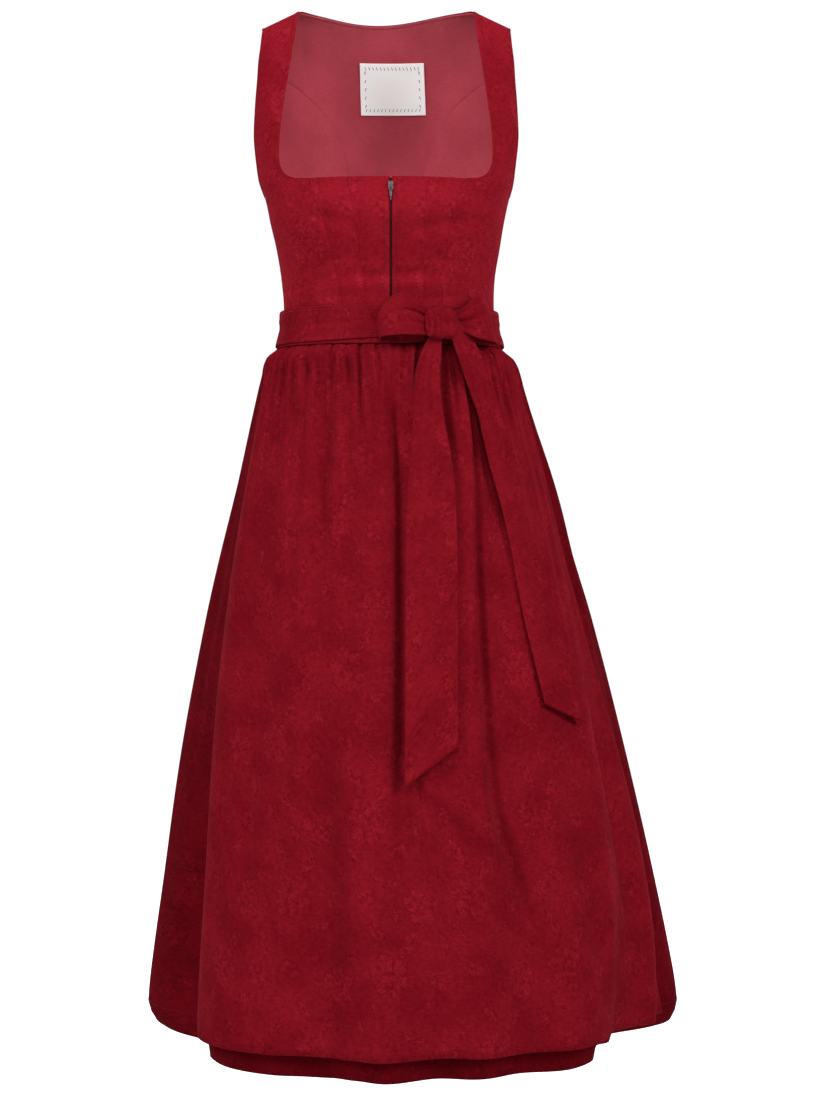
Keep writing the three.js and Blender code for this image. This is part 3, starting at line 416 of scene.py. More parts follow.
# One woven blossom: its rim is the radius times a rounded |cosine| of the angle, once a petal, and
# fine strokes run from its eye outwards.
ORIGIN = (0.0, 0.0, 0.0)
WOVEN = ("Figure", "Outline")
blossom, takes, gives = group("blossom", {
    "Point": ORIGIN, "Centre": ORIGIN, "Radius": 0.02, "Petals": 5.0, "Turn": 0.0}, WOVEN)
arm = minus(takes["Point"], takes["Centre"])
reach = node(blossom, "ShaderNodeVectorMath", {0: arm}, operation="LENGTH").outputs["Value"]
axes = axes_of(arm)
turned = calc("ADD", calc("ARCTAN2", axes["Y"], axes["X"]), takes["Turn"])
lobe = calc("ABSOLUTE", calc("COSINE", calc("MULTIPLY", turned, calc("MULTIPLY", takes["Petals"], 0.5))))
rim = calc("MULTIPLY", takes["Radius"], calc("MULTIPLY_ADD", calc("POWER", lobe, 0.6), 0.42, 0.58))
depth = calc("SUBTRACT", rim, reach)
eye = calc("SUBTRACT", calc("MULTIPLY", takes["Radius"], 0.24), reach)
edge = calc("MINIMUM", calc("ABSOLUTE", depth), calc("ABSOLUTE", eye))
petal_line = calc("MULTIPLY", ramp(lobe, 0.34, 0.12), ramp(depth, -0.001, 0.001))
strokes = calc("SINE", calc("MULTIPLY", turned, calc("MULTIPLY", takes["Petals"], 5.0)))
filled = calc("MULTIPLY", ramp(depth, 0.0, 0.0012), ramp(strokes, -0.5, 0.5, 0.15, 1.0))
blossom.links.new(filled, gives["Figure"])
blossom.links.new(calc("MAXIMUM", ramp(edge, 0.0013, 0.0003), petal_line), gives["Outline"])

# One woven leaf: a pointed oval whose half width is a parabola along its length, with a rib and
# slanting veins.
leaf, takes, gives = group("leaf", {
    "Point": ORIGIN, "Centre": ORIGIN, "Length": 0.04, "Width": 0.014, "Turn": 0.0}, WOVEN)
arm = minus(takes["Point"], takes["Centre"])
turned = node(leaf, "ShaderNodeVectorRotate", {"Vector": arm, "Angle": takes["Turn"]},
              rotation_type="Z_AXIS")
axes = axes_of(turned.outputs[0])
share = calc("DIVIDE", axes["X"], calc("MULTIPLY", takes["Length"], 0.5))
narrowed = calc("SUBTRACT", 1.0, calc("POWER", calc("ABSOLUTE", share), 1.7))
half = calc("MULTIPLY", calc("MULTIPLY", takes["Width"], 0.5), narrowed)
aside = calc("ABSOLUTE", axes["Y"])
depth = calc("SUBTRACT", half, aside)
rib = calc("MULTIPLY", ramp(aside, 0.0011, 0.0004), ramp(depth, -0.0005, 0.001))
veins = calc("SINE", calc("MULTIPLY_ADD", axes["X"], 1700.0, calc("MULTIPLY", aside, 1300.0)))
filled = calc("MULTIPLY", ramp(depth, 0.0, 0.001), ramp(veins, -0.5, 0.5, 0.15, 1.0))
leaf.links.new(filled, gives["Figure"])
leaf.links.new(calc("MAXIMUM", ramp(calc("ABSOLUTE", depth), 0.0011, 0.0002), rib),
               gives["Outline"])

# The repeat, charted in metres: sprays of blossoms and leaves, each column of repeats
# dropped by half against the one beside it.
REPEAT_WIDE = 0.118
REPEAT_TALL = 0.166
BLOSSOMS = (
    # centre x, centre y, radius, petals, turn
    (0.034, 0.046, 0.026, 6.0, 0.3), (0.084, 0.120, 0.021, 5.0, 0.9), (0.092, 0.040, 0.013, 5.0, 0.1),
    (0.020, 0.134, 0.011, 5.0, 0.6))
LEAVES = (
    # centre x, centre y, length, width, turn
    (0.061, 0.080, 0.040, 0.015, -0.8), (0.028, 0.093, 0.038, 0.013, 1.1),
    (0.046, 0.148, 0.034, 0.012, 0.4),
    (0.106, 0.080, 0.030, 0.011, 1.5), (0.070, 0.014, 0.034, 0.011, -0.3),
    (0.010, 0.012, 0.026, 0.009, 0.9),
    (0.052, 0.112, 0.026, 0.010, -1.9), (0.108, 0.152, 0.024, 0.009, 2.4))
jacquard, takes, gives = group("flower_jacquard", {"Cut": ORIGIN}, WOVEN)
wander = node(jacquard, "ShaderNodeTexNoise", {"Vector": takes["Cut"], "Scale": 60.0, "Detail": 3.0})
shifted = node(jacquard, "ShaderNodeVectorMath", {
    0: wander.outputs["Color"], 1: (0.011, 0.011, 0.0), 2: takes["Cut"]}, operation="MULTIPLY_ADD")
axes = axes_of(shifted.outputs[0])
column = calc("DIVIDE", axes["X"], REPEAT_WIDE)
dropped = calc("MULTIPLY_ADD", calc("FLOOR", column), 0.5, calc("DIVIDE", axes["Y"], REPEAT_TALL))
tile = node(jacquard, "ShaderNodeCombineXYZ", {
    "X": calc("MULTIPLY", calc("FRACT", column), REPEAT_WIDE),
    "Y": calc("MULTIPLY", calc("FRACT", dropped), REPEAT_TALL)}).outputs[0]
motifs = [placed(jacquard, blossom, {
    "Point": tile, "Centre": (x, y, 0.0), "Radius": radius, "Petals": petals, "Turn": turn})
    for x, y, radius, petals, turn in BLOSSOMS]
motifs += [placed(jacquard, leaf, {
    "Point": tile, "Centre": (x, y, 0.0), "Length": long, "Width": wide, "Turn": turn})
    for x, y, long, wide, turn in LEAVES]
for part in WOVEN:
    total = motifs[0][part]
    for motif in motifs[1:]:
        total = calc("MAXIMUM", total, motif[part])
    jacquard.links.new(total, gives[part])

# The ground: warp and weft threads as crossed sines, with thick and thin stretches of yarn.
THREAD = 0.0009
weave, takes, gives = group("woven_ground", {"Cut": ORIGIN, "Thread": THREAD}, (
    "Threads", "Slub", "Cloud", "Patch"))
axes = axes_of(takes["Cut"])
rate = calc("DIVIDE", 2.0 * math.pi, takes["Thread"])
warp = calc("SINE", calc("MULTIPLY", axes["X"], rate))
weft = calc("SINE", calc("MULTIPLY", axes["Y"], rate))
weave.links.new(calc("MULTIPLY", warp, weft), gives["Threads"])
drawn_out = node(weave, "ShaderNodeMapping", {"Vector": takes["Cut"], "Scale": (150.0, 420.0, 1.0)})
weave.links.new(noise(weave, drawn_out.outputs[0], 1.0, 2.0), gives["Slub"])
weave.links.new(noise(weave, takes["Cut"], 17.0, 4.0, Roughness=0.62), gives["Cloud"])
weave.links.new(noise(weave, takes["Cut"], 190.0, 3.0, Roughness=0.7, Distortion=0.8), gives["Patch"])


def rgb(red, green, blue):
    """A colour given by its 0-255 display values, as the linear values that shaders take."""
    shown = np.array([red, green, blue]) / 255.0
    linear = np.where(shown <= 0.04045, shown / 12.92, ((shown + 0.055) / 1.055) ** 2.4)
    return (*linear.tolist(), 1.0)


def woven_material(name, thread=THREAD):
    """A new material, its output, its place in the flat cut, and the ground woven there."""
    material, tree, output = blank_material(name)
    cut = node(tree, "ShaderNodeUVMap", uv_map="cut").outputs["UV"]
    return material, output, cut, placed(tree, weave, {"Cut": cut, "Thread": thread})


def painted(output, colour, rough, height, strength, distance, more):
    """Ends a material with its colour, its roughness and a bump that follows a height."""
    tree = colour.id_data
    bump = node(tree, "ShaderNodeBump", {"Height": height, "Strength": strength, "Distance": distance})
    shader = node(tree, "ShaderNodeBsdfPrincipled", {
        "Base Color": colour, "Roughness": rough, "Normal": bump.outputs["Normal"], **more})
    tree.links.new(shader.outputs["BSDF"], output.inputs["Surface"])


def jacquard_cloth(name, ground, shade, light, dark, sheen=0.12):
    """Crimson figured cloth: a clouded ground, with faded flowers of lighter and darker strokes
    that come out in some patches and sink away in others."""
    material, output, cut, ground_of = woven_material(name)
    tree = cut.id_data
    flowers = placed(tree, jacquard, {"Cut": cut})
    colour = mixed(ramp(ground_of["Cloud"], 0.34, 0.66), rgb(*shade), rgb(*ground))
    worn = calc("MULTIPLY", ramp(ground_of["Patch"], 0.40, 0.62),
                ramp(ground_of["Cloud"], 0.32, 0.56, 0.25, 1.0))
    colour = mixed(calc("MULTIPLY", flowers["Figure"], worn), colour, rgb(*light))
    broken = calc("MULTIPLY", ramp(ground_of["Patch"], 0.58, 0.44, 0.0, 0.6),
                  ramp(ground_of["Slub"], 0.3, 0.6, 0.4, 1.0))
    colour = mixed(calc("MULTIPLY", flowers["Outline"], broken), colour, rgb(*dark))
    colour = times(colour, ramp(ground_of["Slub"], 0.25, 0.75, 0.88, 1.10))
    colour = times(colour, ramp(ground_of["Patch"], 0.36, 0.64, 0.88, 1.07))
    height = calc("MULTIPLY_ADD", flowers["Figure"], 0.16, calc("MULTIPLY", ground_of["Slub"], 0.8))
    height = calc("MULTIPLY_ADD", ground_of["Threads"], 0.2, height)
    rough = calc("MULTIPLY_ADD", flowers["Figure"], -0.06, ramp(ground_of["Slub"], 0.2, 0.8, 0.74, 0.86))
    painted(output, colour, rough, height, 0.5, 0.0003, {
        "Specular IOR Level": 0.0, "Sheen Weight": sheen, "Sheen Roughness": 0.4,
        "Sheen Tint": (1.0, 0.22, 0.28, 1.0)})
    return material


def plain_cloth(name, ground, shade):
    """Plain woven cloth: one clouded colour with its thread and slubs."""
    material, output, _, ground_of = woven_material(name)
    colour = mixed(ramp(ground_of["Cloud"], 0.30, 0.70), rgb(*shade), rgb(*ground))
    colour = times(colour, ramp(ground_of["Slub"], 0.2, 0.8, 0.93, 1.06))
    height = calc("MULTIPLY_ADD", ground_of["Threads"], 0.4, ground_of["Slub"])
    painted(output, colour, 0.85, height, 0.5, 0.0003, {
        "Specular IOR Level": 0.2, "Sheen Weight": 0.2, "Sheen Roughness": 0.5,
        "Sheen Tint": (1.0, 0.8, 0.82, 1.0)})
    return material


bodice_jacquard = jacquard_cloth(
    "bodice_jacquard", (151, 25, 39), (137, 19, 33), (160, 31, 46), (116, 13, 24))
facing = plain_cloth("facing", (194, 73, 89), (180, 64, 78))

FRONT_SEAMS = table("z inner_left outer_left inner_right outer_right side_z", (
    (-205, -47, -91, 43.5, 85, -215), (-222, -43.5, -87, 42, 79, -235),
    (-245, -40, -77.5, 41, 71, -256),
    (-270, -36, -69, 40, 66, -279), (-300, -31.5, -61.5, 39, 64, -306),
    (-335, -27, -55.5, 38, 61, -338), (-375, -22, -50, 36, 57, -375)))
STRAP = table("inner inner_z angle outer_z", (
    (100, SHOULDER_SEAM, 75.5, SHOULDER_SEAM), (100, -1.6, 74.5, -1.6), (100.5, -6, 73.5, -6),
    (102, -16, 73, -16), (104.5, -35, 73, -35), (108.5, -65, 73, -65), (114, -105, 73.5, -105),
    (119, -145, 74.5, -145), (120.5, -171, 75.5, -168), (119, -187, 77.5, -184), (113, -198, 81, -197),
    (103, -203.5, 86, -207)))
BACK_SEAMS = table("seam seam_z angle outer_z", (
    (145.4, -57, 108, -67), (123, -66, 107, -103), (100, -82, 105, -145), (78, -103, 102, -180),
    (60, -128, 97, -203), (48, -158, 90, -215), (40, -190, 90, -235), (36, -220, 90, -256),
    (32.5, -253, 90, -279), (30, -290, 90, -306), (28.5, -332, 90, -338), (28, -375, 90, -375)))
SIDES = (("left", -1), ("right", 1))

# Soft dents and swells of the filled bodice: place across and up, length, width, slant, depth.
FRONT_DENTS = (
    (-74, -250, 28, 8, -14, -4.2), (36, -262, 14, 8, 8, -2.6), (72, -255, 26, 8, 10, -3.6),
    (96, -246, 9, 24, 0, -1.6),
    (-104, -240, 9, 30, 8, -1.8), (24, -311, 24, 4.5, 2, -3.2), (-24, -313, 22, 4.5, -4, -2.6),
    (28, -322, 26, 5, 2, 1.6), (-30, -324, 24, 5, 0, 1.4), (70, -298, 20, 5, -16, -2.0),
    (-76, -300, 22, 5, 18, -2.2),
    (52, -338, 26, 4, 5, -1.8), (-56, -336, 24, 4, -7, -1.8), (88, -320, 16, 4, -12, -1.6),
    (-94, -322, 18, 4, 14, -1.8), (-62, -228, 22, 8, 10, 1.6), (60, -232, 24, 8, -8, 1.6),
    (-106, -190, 8, 18, -8, -0.9), (104, -190, 8, 18, 10, -0.8))
BACK_DENTS = (
    (-20, -300, 30, 5, 6, -1.2), (34, -322, 28, 4.5, -8, -1.3), (60, -286, 22, 6, 14, -1.0),
    (-66, -306, 26, 5, -12, -1.3), (8, -246, 34, 7, 3, -0.9), (-46, -196, 12, 26, 10, -0.9),
    (70, -176, 12, 26, -14, -1.0), (10, -140, 40, 9, 0, 0.8), (-84, -250, 16, 10, 8, -1.0),
    (0, -344, 46, 4, 2, -1.0), (92, -232, 9, 20, 4, -1.0))


def dented(x, z, dents):
    """Sum of depths times exp(-(run/length)^2 - (rise/width)^2), each turned by its slant."""
    total = 0.0
    for across, up, long, wide, slant, deep in dents:
        turn = np.radians(slant)
        run = (x - across) * np.cos(turn) + (z - up) * np.sin(turn)
        rise = (z - up) * np.cos(turn) - (x - across) * np.sin(turn)
        total = total + deep * np.exp(-(run / long) ** 2 - (rise / wide) ** 2)
    return total


def beside_seam(distance, place):
    """Cloth dips towards a seam and puckers softly beside it, more at some places than others."""
    dip = -0.35 * bell(distance, 2.2)
    pucker = 0.16 * np.exp(-distance / 5) * np.sin(place / 1.55) * (0.6 + 0.4 * np.sin(place / 17))
    return dip + pucker


def turned_edge(distance):
    """A finished edge is two folds thick for 3 mm, with a sunk line of stitches at 4 mm."""
    return 0.38 * fade(distance, 3.9, 3.1) - 0.3 * bell(distance - EDGE_STITCH, 0.7)


def edge(angle, z):
    """One side of a panel: angles and heights of its rows, top first, stopping at the waist."""
    return np.stack([angle, np.maximum(z, WAIST_HEIGHT - SEAM_LAP)], axis=-1)


def front_seam(column, count):
    """A front seam's rows, on a smooth curve through the table."""
    at = evenly(FRONT_SEAMS, count)
    return edge(angle_at(at(column), at("z")), at("z"))


def strap_edges(sign, count):
    """Angles and heights of a strap's inner and its outer edge."""
    at = evenly(STRAP, count)
    inner = angle_at(sign * at("inner") + STRAP_SHIFT, at("inner_z"))
    return (inner, at("inner_z")), (sign * at("angle"), at("outer_z"))


def straight(first, last, count):
    """Rows on the straight line between two rows, both ends left out."""
    share = np.linspace(0, 1, count + 2)[1:-1, None]
    return first + (last - first) * share


def panel(left, right, columns):
    """Angle, height and share across for a grid between two edges. It runs a little past each, so
    that two sewn panels close on each other."""
    span = np.linalg.norm(form(left[:, 0], left[:, 1]) - form(right[:, 0], right[:, 1]), axis=-1)
    inset = (-SEAM_LAP / np.maximum(span, 1.0))[:, None]
    share = inset + (1 - 2 * inset) * np.linspace(0, 1, columns)
    grid = left[:, None] + (right - left)[:, None] * share[..., None]
    return grid[..., 0], grid[..., 1], share, span[:, None]


def bodice_wall(angle, z, relief, start, thick):
    """Outer and inner grids of a layer that begins start below the form and is thick deep. The
    side that shows takes the whole relief: the outer one, or the inner one of what lies within."""
    kept = np.minimum(0.4 * relief, relief + 0.6)
    shown, hidden = (relief, kept) if start == 0.0 else (0.0, relief)
    return bodice_off(angle, z, shown - start + 0 * relief), bodice_off(angle, z, hidden - start - thick)


def closed_at_shoulder(walls, step):
    """Moves the top rows on by a seam's lap, so that front and back straps close on each other."""
    for grid in walls:
        grid[0, :, 1] += step
    return walls


PANEL_ROWS = 60
STRAP_ROWS = 70
CORNER_ROWS = 6
# Each front panel's flat width and height in metres, and its area in square metres.
CUTS = {"centre": ((0.047, 0.171), 0.0061), "mid": ((0.044, 0.172), 0.0056),
        "side": ((0.118, 0.385), 0.031)}
for side, sign in SIDES:
    zip_z = evenly(FRONT_SEAMS, PANEL_ROWS)("z")
    zip_edge = edge(angle_at(ZIP_X + sign * ZIP_OPENING / 2, zip_z), zip_z)
    inner = front_seam(f"inner_{side}", PANEL_ROWS)
    outer = front_seam(f"outer_{side}", PANEL_ROWS)
    strap_in, strap_out = (edge(*place) for place in strap_edges(sign, STRAP_ROWS))
    side_z = evenly(FRONT_SEAMS, PANEL_ROWS)("side_z")
    side_seam = edge(sign * 90.0 + 0 * side_z, side_z)
    neck_end = np.concatenate([strap_in, straight(strap_in[-1], outer[0], CORNER_ROWS), outer])
    arm_end = np.concatenate([strap_out, straight(strap_out[-1], side_seam[0], CORNER_ROWS), side_seam])
    for name, near, far, columns in (
            (f"front_centre_{side}", zip_edge, inner, 26), (f"front_mid_{side}", inner, outer, 26),
            (f"front_side_{side}", neck_end, arm_end, 40)):
        left, right = (near, far) if sign > 0 else (far, near)
        angle, z, share, span = panel(left, right, columns)
        near_share = share if sign > 0 else 1 - share
        place = bodice(angle, z)
        relief = dented(place[..., 0], place[..., 2], FRONT_DENTS) * fade(z, -150, -200)
        to_near, to_far = near_share * span, (1 - near_share) * span
        if "side" in name:
            edge_rows = (np.arange(len(z)) < STRAP_ROWS + CORNER_ROWS)[:, None]
            relief += np.where(edge_rows, turned_edge(to_near) + turned_edge(to_far),
                               beside_seam(to_near, z) + beside_seam(to_far, z))
        else:
            folded = "centre" in name
            relief += turned_edge(to_near) if folded else beside_seam(to_near, z)
            relief += beside_seam(to_far, z) + turned_edge(FRONT_SEAMS["z"][0] - z)
        walls = bodice_wall(angle, z, relief, 0.0, BODICE_WALL)
        if "side" in name:
            walls = closed_at_shoulder(walls, SEAM_LAP)
        piece = wall_of_cloth(name, *walls, (bodice_jacquard, facing))
        cut, area = CUTS[name.split("_")[1]]
        sewn_on(piece, f"bodice_{name}")


def back_side(sign):
    """Angles, heights, shares and spans of the back side panel's grid."""
    at = evenly(BACK_SEAMS, BACK_ROWS)
    z = at("seam_z")
    seam = edge(angle_at(along(FORM, "shift_x", z) + sign * at("seam"), z, back=True), z)
    arm = edge(at("angle") if sign > 0 else 360 - at("angle"), at("outer_z"))
    return panel(*((arm, seam) if sign > 0 else (seam, arm)), BACK_COLUMNS)


# The back centre panel reaches up as both straps, with the neck edge between them.
STRAP_BACK = table("angle z", (
    (104.5, SHOULDER_SEAM), (105.5, -1.6), (106.5, -6), (107, -16), (107.5, -33)))
NECK_DIP = 35.0
NECK_SHARE = 0.7
NECK_END = -158.0
LINING_SEAM = 1.9
CENTRE_ROWS, CENTRE_COLUMNS = 110, 96
BACK_ROWS, BACK_COLUMNS = 80, 36
ARMHOLE_END = -215


def back_centre():
    """Angles, heights, shares and half widths: rows run level, and above the neck's end they dip
    in the middle by a squared cosine. Columns go right to left, as seen from the front."""
    strap_z = STRAP_BACK["z"]
    strap_half = np.abs(form(STRAP_BACK["angle"], strap_z)[:, 0] - along(FORM, "shift_x", strap_z))
    halves = np.concatenate([strap_half, BACK_SEAMS["seam"]])
    heights = np.concatenate([strap_z, BACK_SEAMS["seam_z"]])
    at = evenly(table("half z", np.stack([halves, heights], axis=1)), CENTRE_ROWS)
    half = at("half")[:, None]
    level = np.maximum(at("z"), WAIST_HEIGHT - SEAM_LAP)[:, None]
    share = np.linspace(-1, 1, CENTRE_COLUMNS)[None]
    dip = np.cos(np.clip(share / NECK_SHARE, -1, 1) * np.pi / 2) ** 2
    z = level - np.maximum(0.0, NECK_DIP * dip * (1 - level / NECK_END))
    x = along(FORM, "shift_x", z) - share * (half + SEAM_LAP)
    return angle_at(x, z, back=True), z, share, half


for side, sign in SIDES:
    angle, z, share, span = back_side(sign)
    to_arm = (share if sign > 0 else 1 - share) * span
    place = bodice(angle, z)
    relief = dented(place[..., 0], place[..., 2], BACK_DENTS)
    armhole = (z[:, :1] if sign > 0 else z[:, -1:]) > ARMHOLE_END
    relief += np.where(armhole, turned_edge(to_arm), beside_seam(to_arm, z))
    relief += beside_seam(span - to_arm, z)
    piece = wall_of_cloth(f"back_side_{side}", *bodice_wall(angle, z, relief, 0.0, BODICE_WALL),
                          (bodice_jacquard, bodice_jacquard))
    sewn_on(piece, f"bodice_back_side_{side}")
    relief = -LINING_SEAM * beside_seam(span - to_arm, z) - np.where(armhole, turned_edge(to_arm), 0.0)
    walls = bodice_wall(angle, z, relief, UNDER_CLOTH, LINING_WALL)
    piece = wall_of_cloth(f"lining_side_{side}", *walls, (facing, facing))
    sewn_on(piece, f"lining_back_side_{side}")

angle, z, share, half = back_centre()
place = bodice(angle, z)
to_seam = (1 - np.abs(share)) * half
# The top row is the shoulder seam out on the straps and the neck edge between them.
relief = dented(place[..., 0], place[..., 2], BACK_DENTS) * fade(-z, 20, 60)
from_neck = np.where(np.abs(share) < NECK_SHARE, lengths(place, 0), 99.0)
relief += turned_edge(from_neck) + beside_seam(to_seam, z)
walls = closed_at_shoulder(bodice_wall(angle, z, relief, 0.0, BODICE_WALL),
                           -SEAM_LAP * (np.abs(share[0]) > NECK_SHARE))
piece = wall_of_cloth("back_centre", *walls, (bodice_jacquard, bodice_jacquard))
sewn_on(piece, "bodice_back_centre")
relief = -LINING_SEAM * beside_seam(to_seam, z) - turned_edge(from_neck)
piece = wall_of_cloth("lining_centre", *bodice_wall(angle, z, relief, UNDER_CLOTH, LINING_WALL),
                      (facing, facing))
sewn_on(piece, "lining_back_centre")

# ---------------------------------------------------------------------------------------------
# Neck label: a bare damask label of white satin with a border of small slanted dashes, folded
# under and stitched by its four corners to the lining in the back of the neck.
# ---------------------------------------------------------------------------------------------
LABEL_LEFT, LABEL_RIGHT, LABEL_TOP, LABEL_BOTTOM = -37.0, 40.5, -45.0, -104.8
LABEL_LEAN = 1.8
LABEL_WALL = 1.0
LABEL_DEPTH = UNDER_CLOTH + LINING_WALL + 1.7
LABEL_ROWS, LABEL_COLUMNS = 44, 60
LABEL_CUT = (0.078, 0.060)


def height_below(x, raised):
    """The height on the form from which the back is raised to a given height, by repeated steps
    of 0.6 of what is still missing."""
    z = raised + 0 * x
    for _ in range(20):
        z = z + 0.6 * (raised - bodice(angle_at(x, z, back=True), z)[..., 2])
    return z


def label_grid():
    """Angles, heights and shares: a straight rectangle on the back, seen from inside."""
    across = np.linspace(1, 0, LABEL_COLUMNS)[None]
    down = np.linspace(0, 1, LABEL_ROWS)[:, None]
    x = LABEL_LEFT + (LABEL_RIGHT - LABEL_LEFT) * across + LABEL_LEAN * down
    z = height_below(x, LABEL_TOP + (LABEL_BOTTOM - LABEL_TOP) * down + 0 * x)
    return angle_at(x, z, back=True), z, across, down


def from_nearest(place, pitch):
    """How far a place is from the nearest of marks a pitch apart, as a share of the pitch."""
    return calc("SUBTRACT", calc("FRACT", calc("MULTIPLY_ADD", place, 1 / pitch, 0.5)), 0.5)


def dashes(along_row, aside, pitch):
    """Slanted dashes in a row, a pitch apart: 1.3 mm wide, 4.2 mm tall, leaning a third over."""
    leaned = calc("MULTIPLY_ADD", aside, -0.34, along_row)
    near = calc("MULTIPLY", calc("ABSOLUTE", from_nearest(leaned, pitch)), pitch)
    return calc("MULTIPLY", ramp(near, 0.0009, 0.0004), ramp(calc("ABSOLUTE", aside), 0.0023, 0.0016))


angle, z, across, down = label_grid()
relief = 0.3 - 0.9 * np.sin(np.pi * across) * np.sin(np.pi * down) + 0.25 * np.sin(9 * across + 4 * down)
outer, inner = bodice_wall(angle, z, relief, LABEL_DEPTH, LABEL_WALL)
label_flat = np.stack(np.broadcast_arrays((0.5 - across) * LABEL_CUT[0], -LABEL_CUT[1] * down), axis=-1)
label_satin, output, cut, ground_of = woven_material("label_satin", 0.0005)
axes = axes_of(cut)
from_middle = calc("ADD", axes["Y"], 0.030)
beside = calc("SUBTRACT", calc("ABSOLUTE", from_middle), 0.0240)
in_rows = calc("MULTIPLY", dashes(axes["X"], beside, 0.0046),
               ramp(calc("ABSOLUTE", axes["X"]), 0.0345, 0.0335))
beyond = calc("SUBTRACT", calc("ABSOLUTE", axes["X"]), 0.0328)
upright = calc("MULTIPLY", from_nearest(from_middle, 0.0096), 0.0096)
leaned = calc("MULTIPLY_ADD", upright, 0.34, beyond)
in_columns = calc("MULTIPLY", ramp(calc("ABSOLUTE", leaned), 0.0010, 0.0005),
                  ramp(calc("ABSOLUTE", upright), 0.0023, 0.0016))
in_columns = calc("MULTIPLY", in_columns, ramp(calc("ABSOLUTE", from_middle), 0.0222, 0.0216))
colour = mixed(calc("MAXIMUM", in_rows, in_columns), rgb(246, 247, 246), rgb(158, 155, 158))
colour = times(colour, ramp(ground_of["Slub"], 0.2, 0.8, 0.96, 1.03))
# The label glows faintly in its own colour: painted light, which makes it brighter than the lamps light
# it inside the neck.
painted(output, colour, 0.55, ground_of["Threads"], 0.3, 0.0002, {
    "Sheen Weight": 0.15, "Emission Color": colour, "Emission Strength": 0.22})
piece = wall_of_cloth("label", outer, inner, (label_satin, label_satin), rim=0.4, flat=label_flat)
sewn_on(piece, "neck_label")

# ---------------------------------------------------------------------------------------------
# Skirt: three flared panels of the jacquard gathered into the waist seam, hanging in long soft
# folds to a turned hem. The side seams lie just behind the apron's edges.
# ---------------------------------------------------------------------------------------------
SKIRT_WALL = 1.5
SKIRT_HEM = -1174.0
BAND_BOTTOM = -389.0
APRON_LINES = 88.0
MARGIN_LINES = 12.0
BACK_LINES = 44.0
HEM_TURNED = 26.0
SIDE_CURL = 15.0

FOLDS = table("high mid low wide_high wide_low deep_high deep_mid deep_low", (
    (2, -0.5, -1.5, 2.6, 3.2, -10, -13, -5), (41, 27, 25, 3, 6, -8, -13, -24),
    (25, 12, 6, 3, 4.5, -8, -4, -22), (-33, -22, -15, 2.5, 5, -8, -3, -14),
    (-20, -14, -5, 2.5, 4, -8, -2, 13), (-52, -43, -38, 4, 8, -4, -5, 4),
    (-80, -72, -68, 5, 11, -5, -17, -62), (60, 49, 42, 4, 5, -5, -7, -12),
    (74, 64, 57, 4, 7, -5, -11, -58), (92, 82, 76, 4, 8, -4, -14, -66),
    (110, 106, 103, 5, 8, 3, 8, 14), (124, 121, 120, 4, 7, -6, -14, -32),
    (143, 140, 141, 4, 8, -5, -9, -24), (160, 163, 162, 4, 7, -7, -15, -34),
    (180, 181, 182, 4, 9, -4, -8, -20), (199, 202, 203, 4, 7, -7, -16, -36),
    (219, 221, 223, 4, 8, -5, -9, -22), (238, 240, 240, 4, 7, -6, -13, -30),
    (252, 255, 257, 5, 8, 3, 7, 12)))
GATHERS = table("z deep", (
    (-375, 0.5), (-389, 1.2), (-401, 3.4), (-424, 4.0), (-455, 2.6), (-495, 1.0), (-550, 0.3),
    (-620, 0), (-1174, 0)))
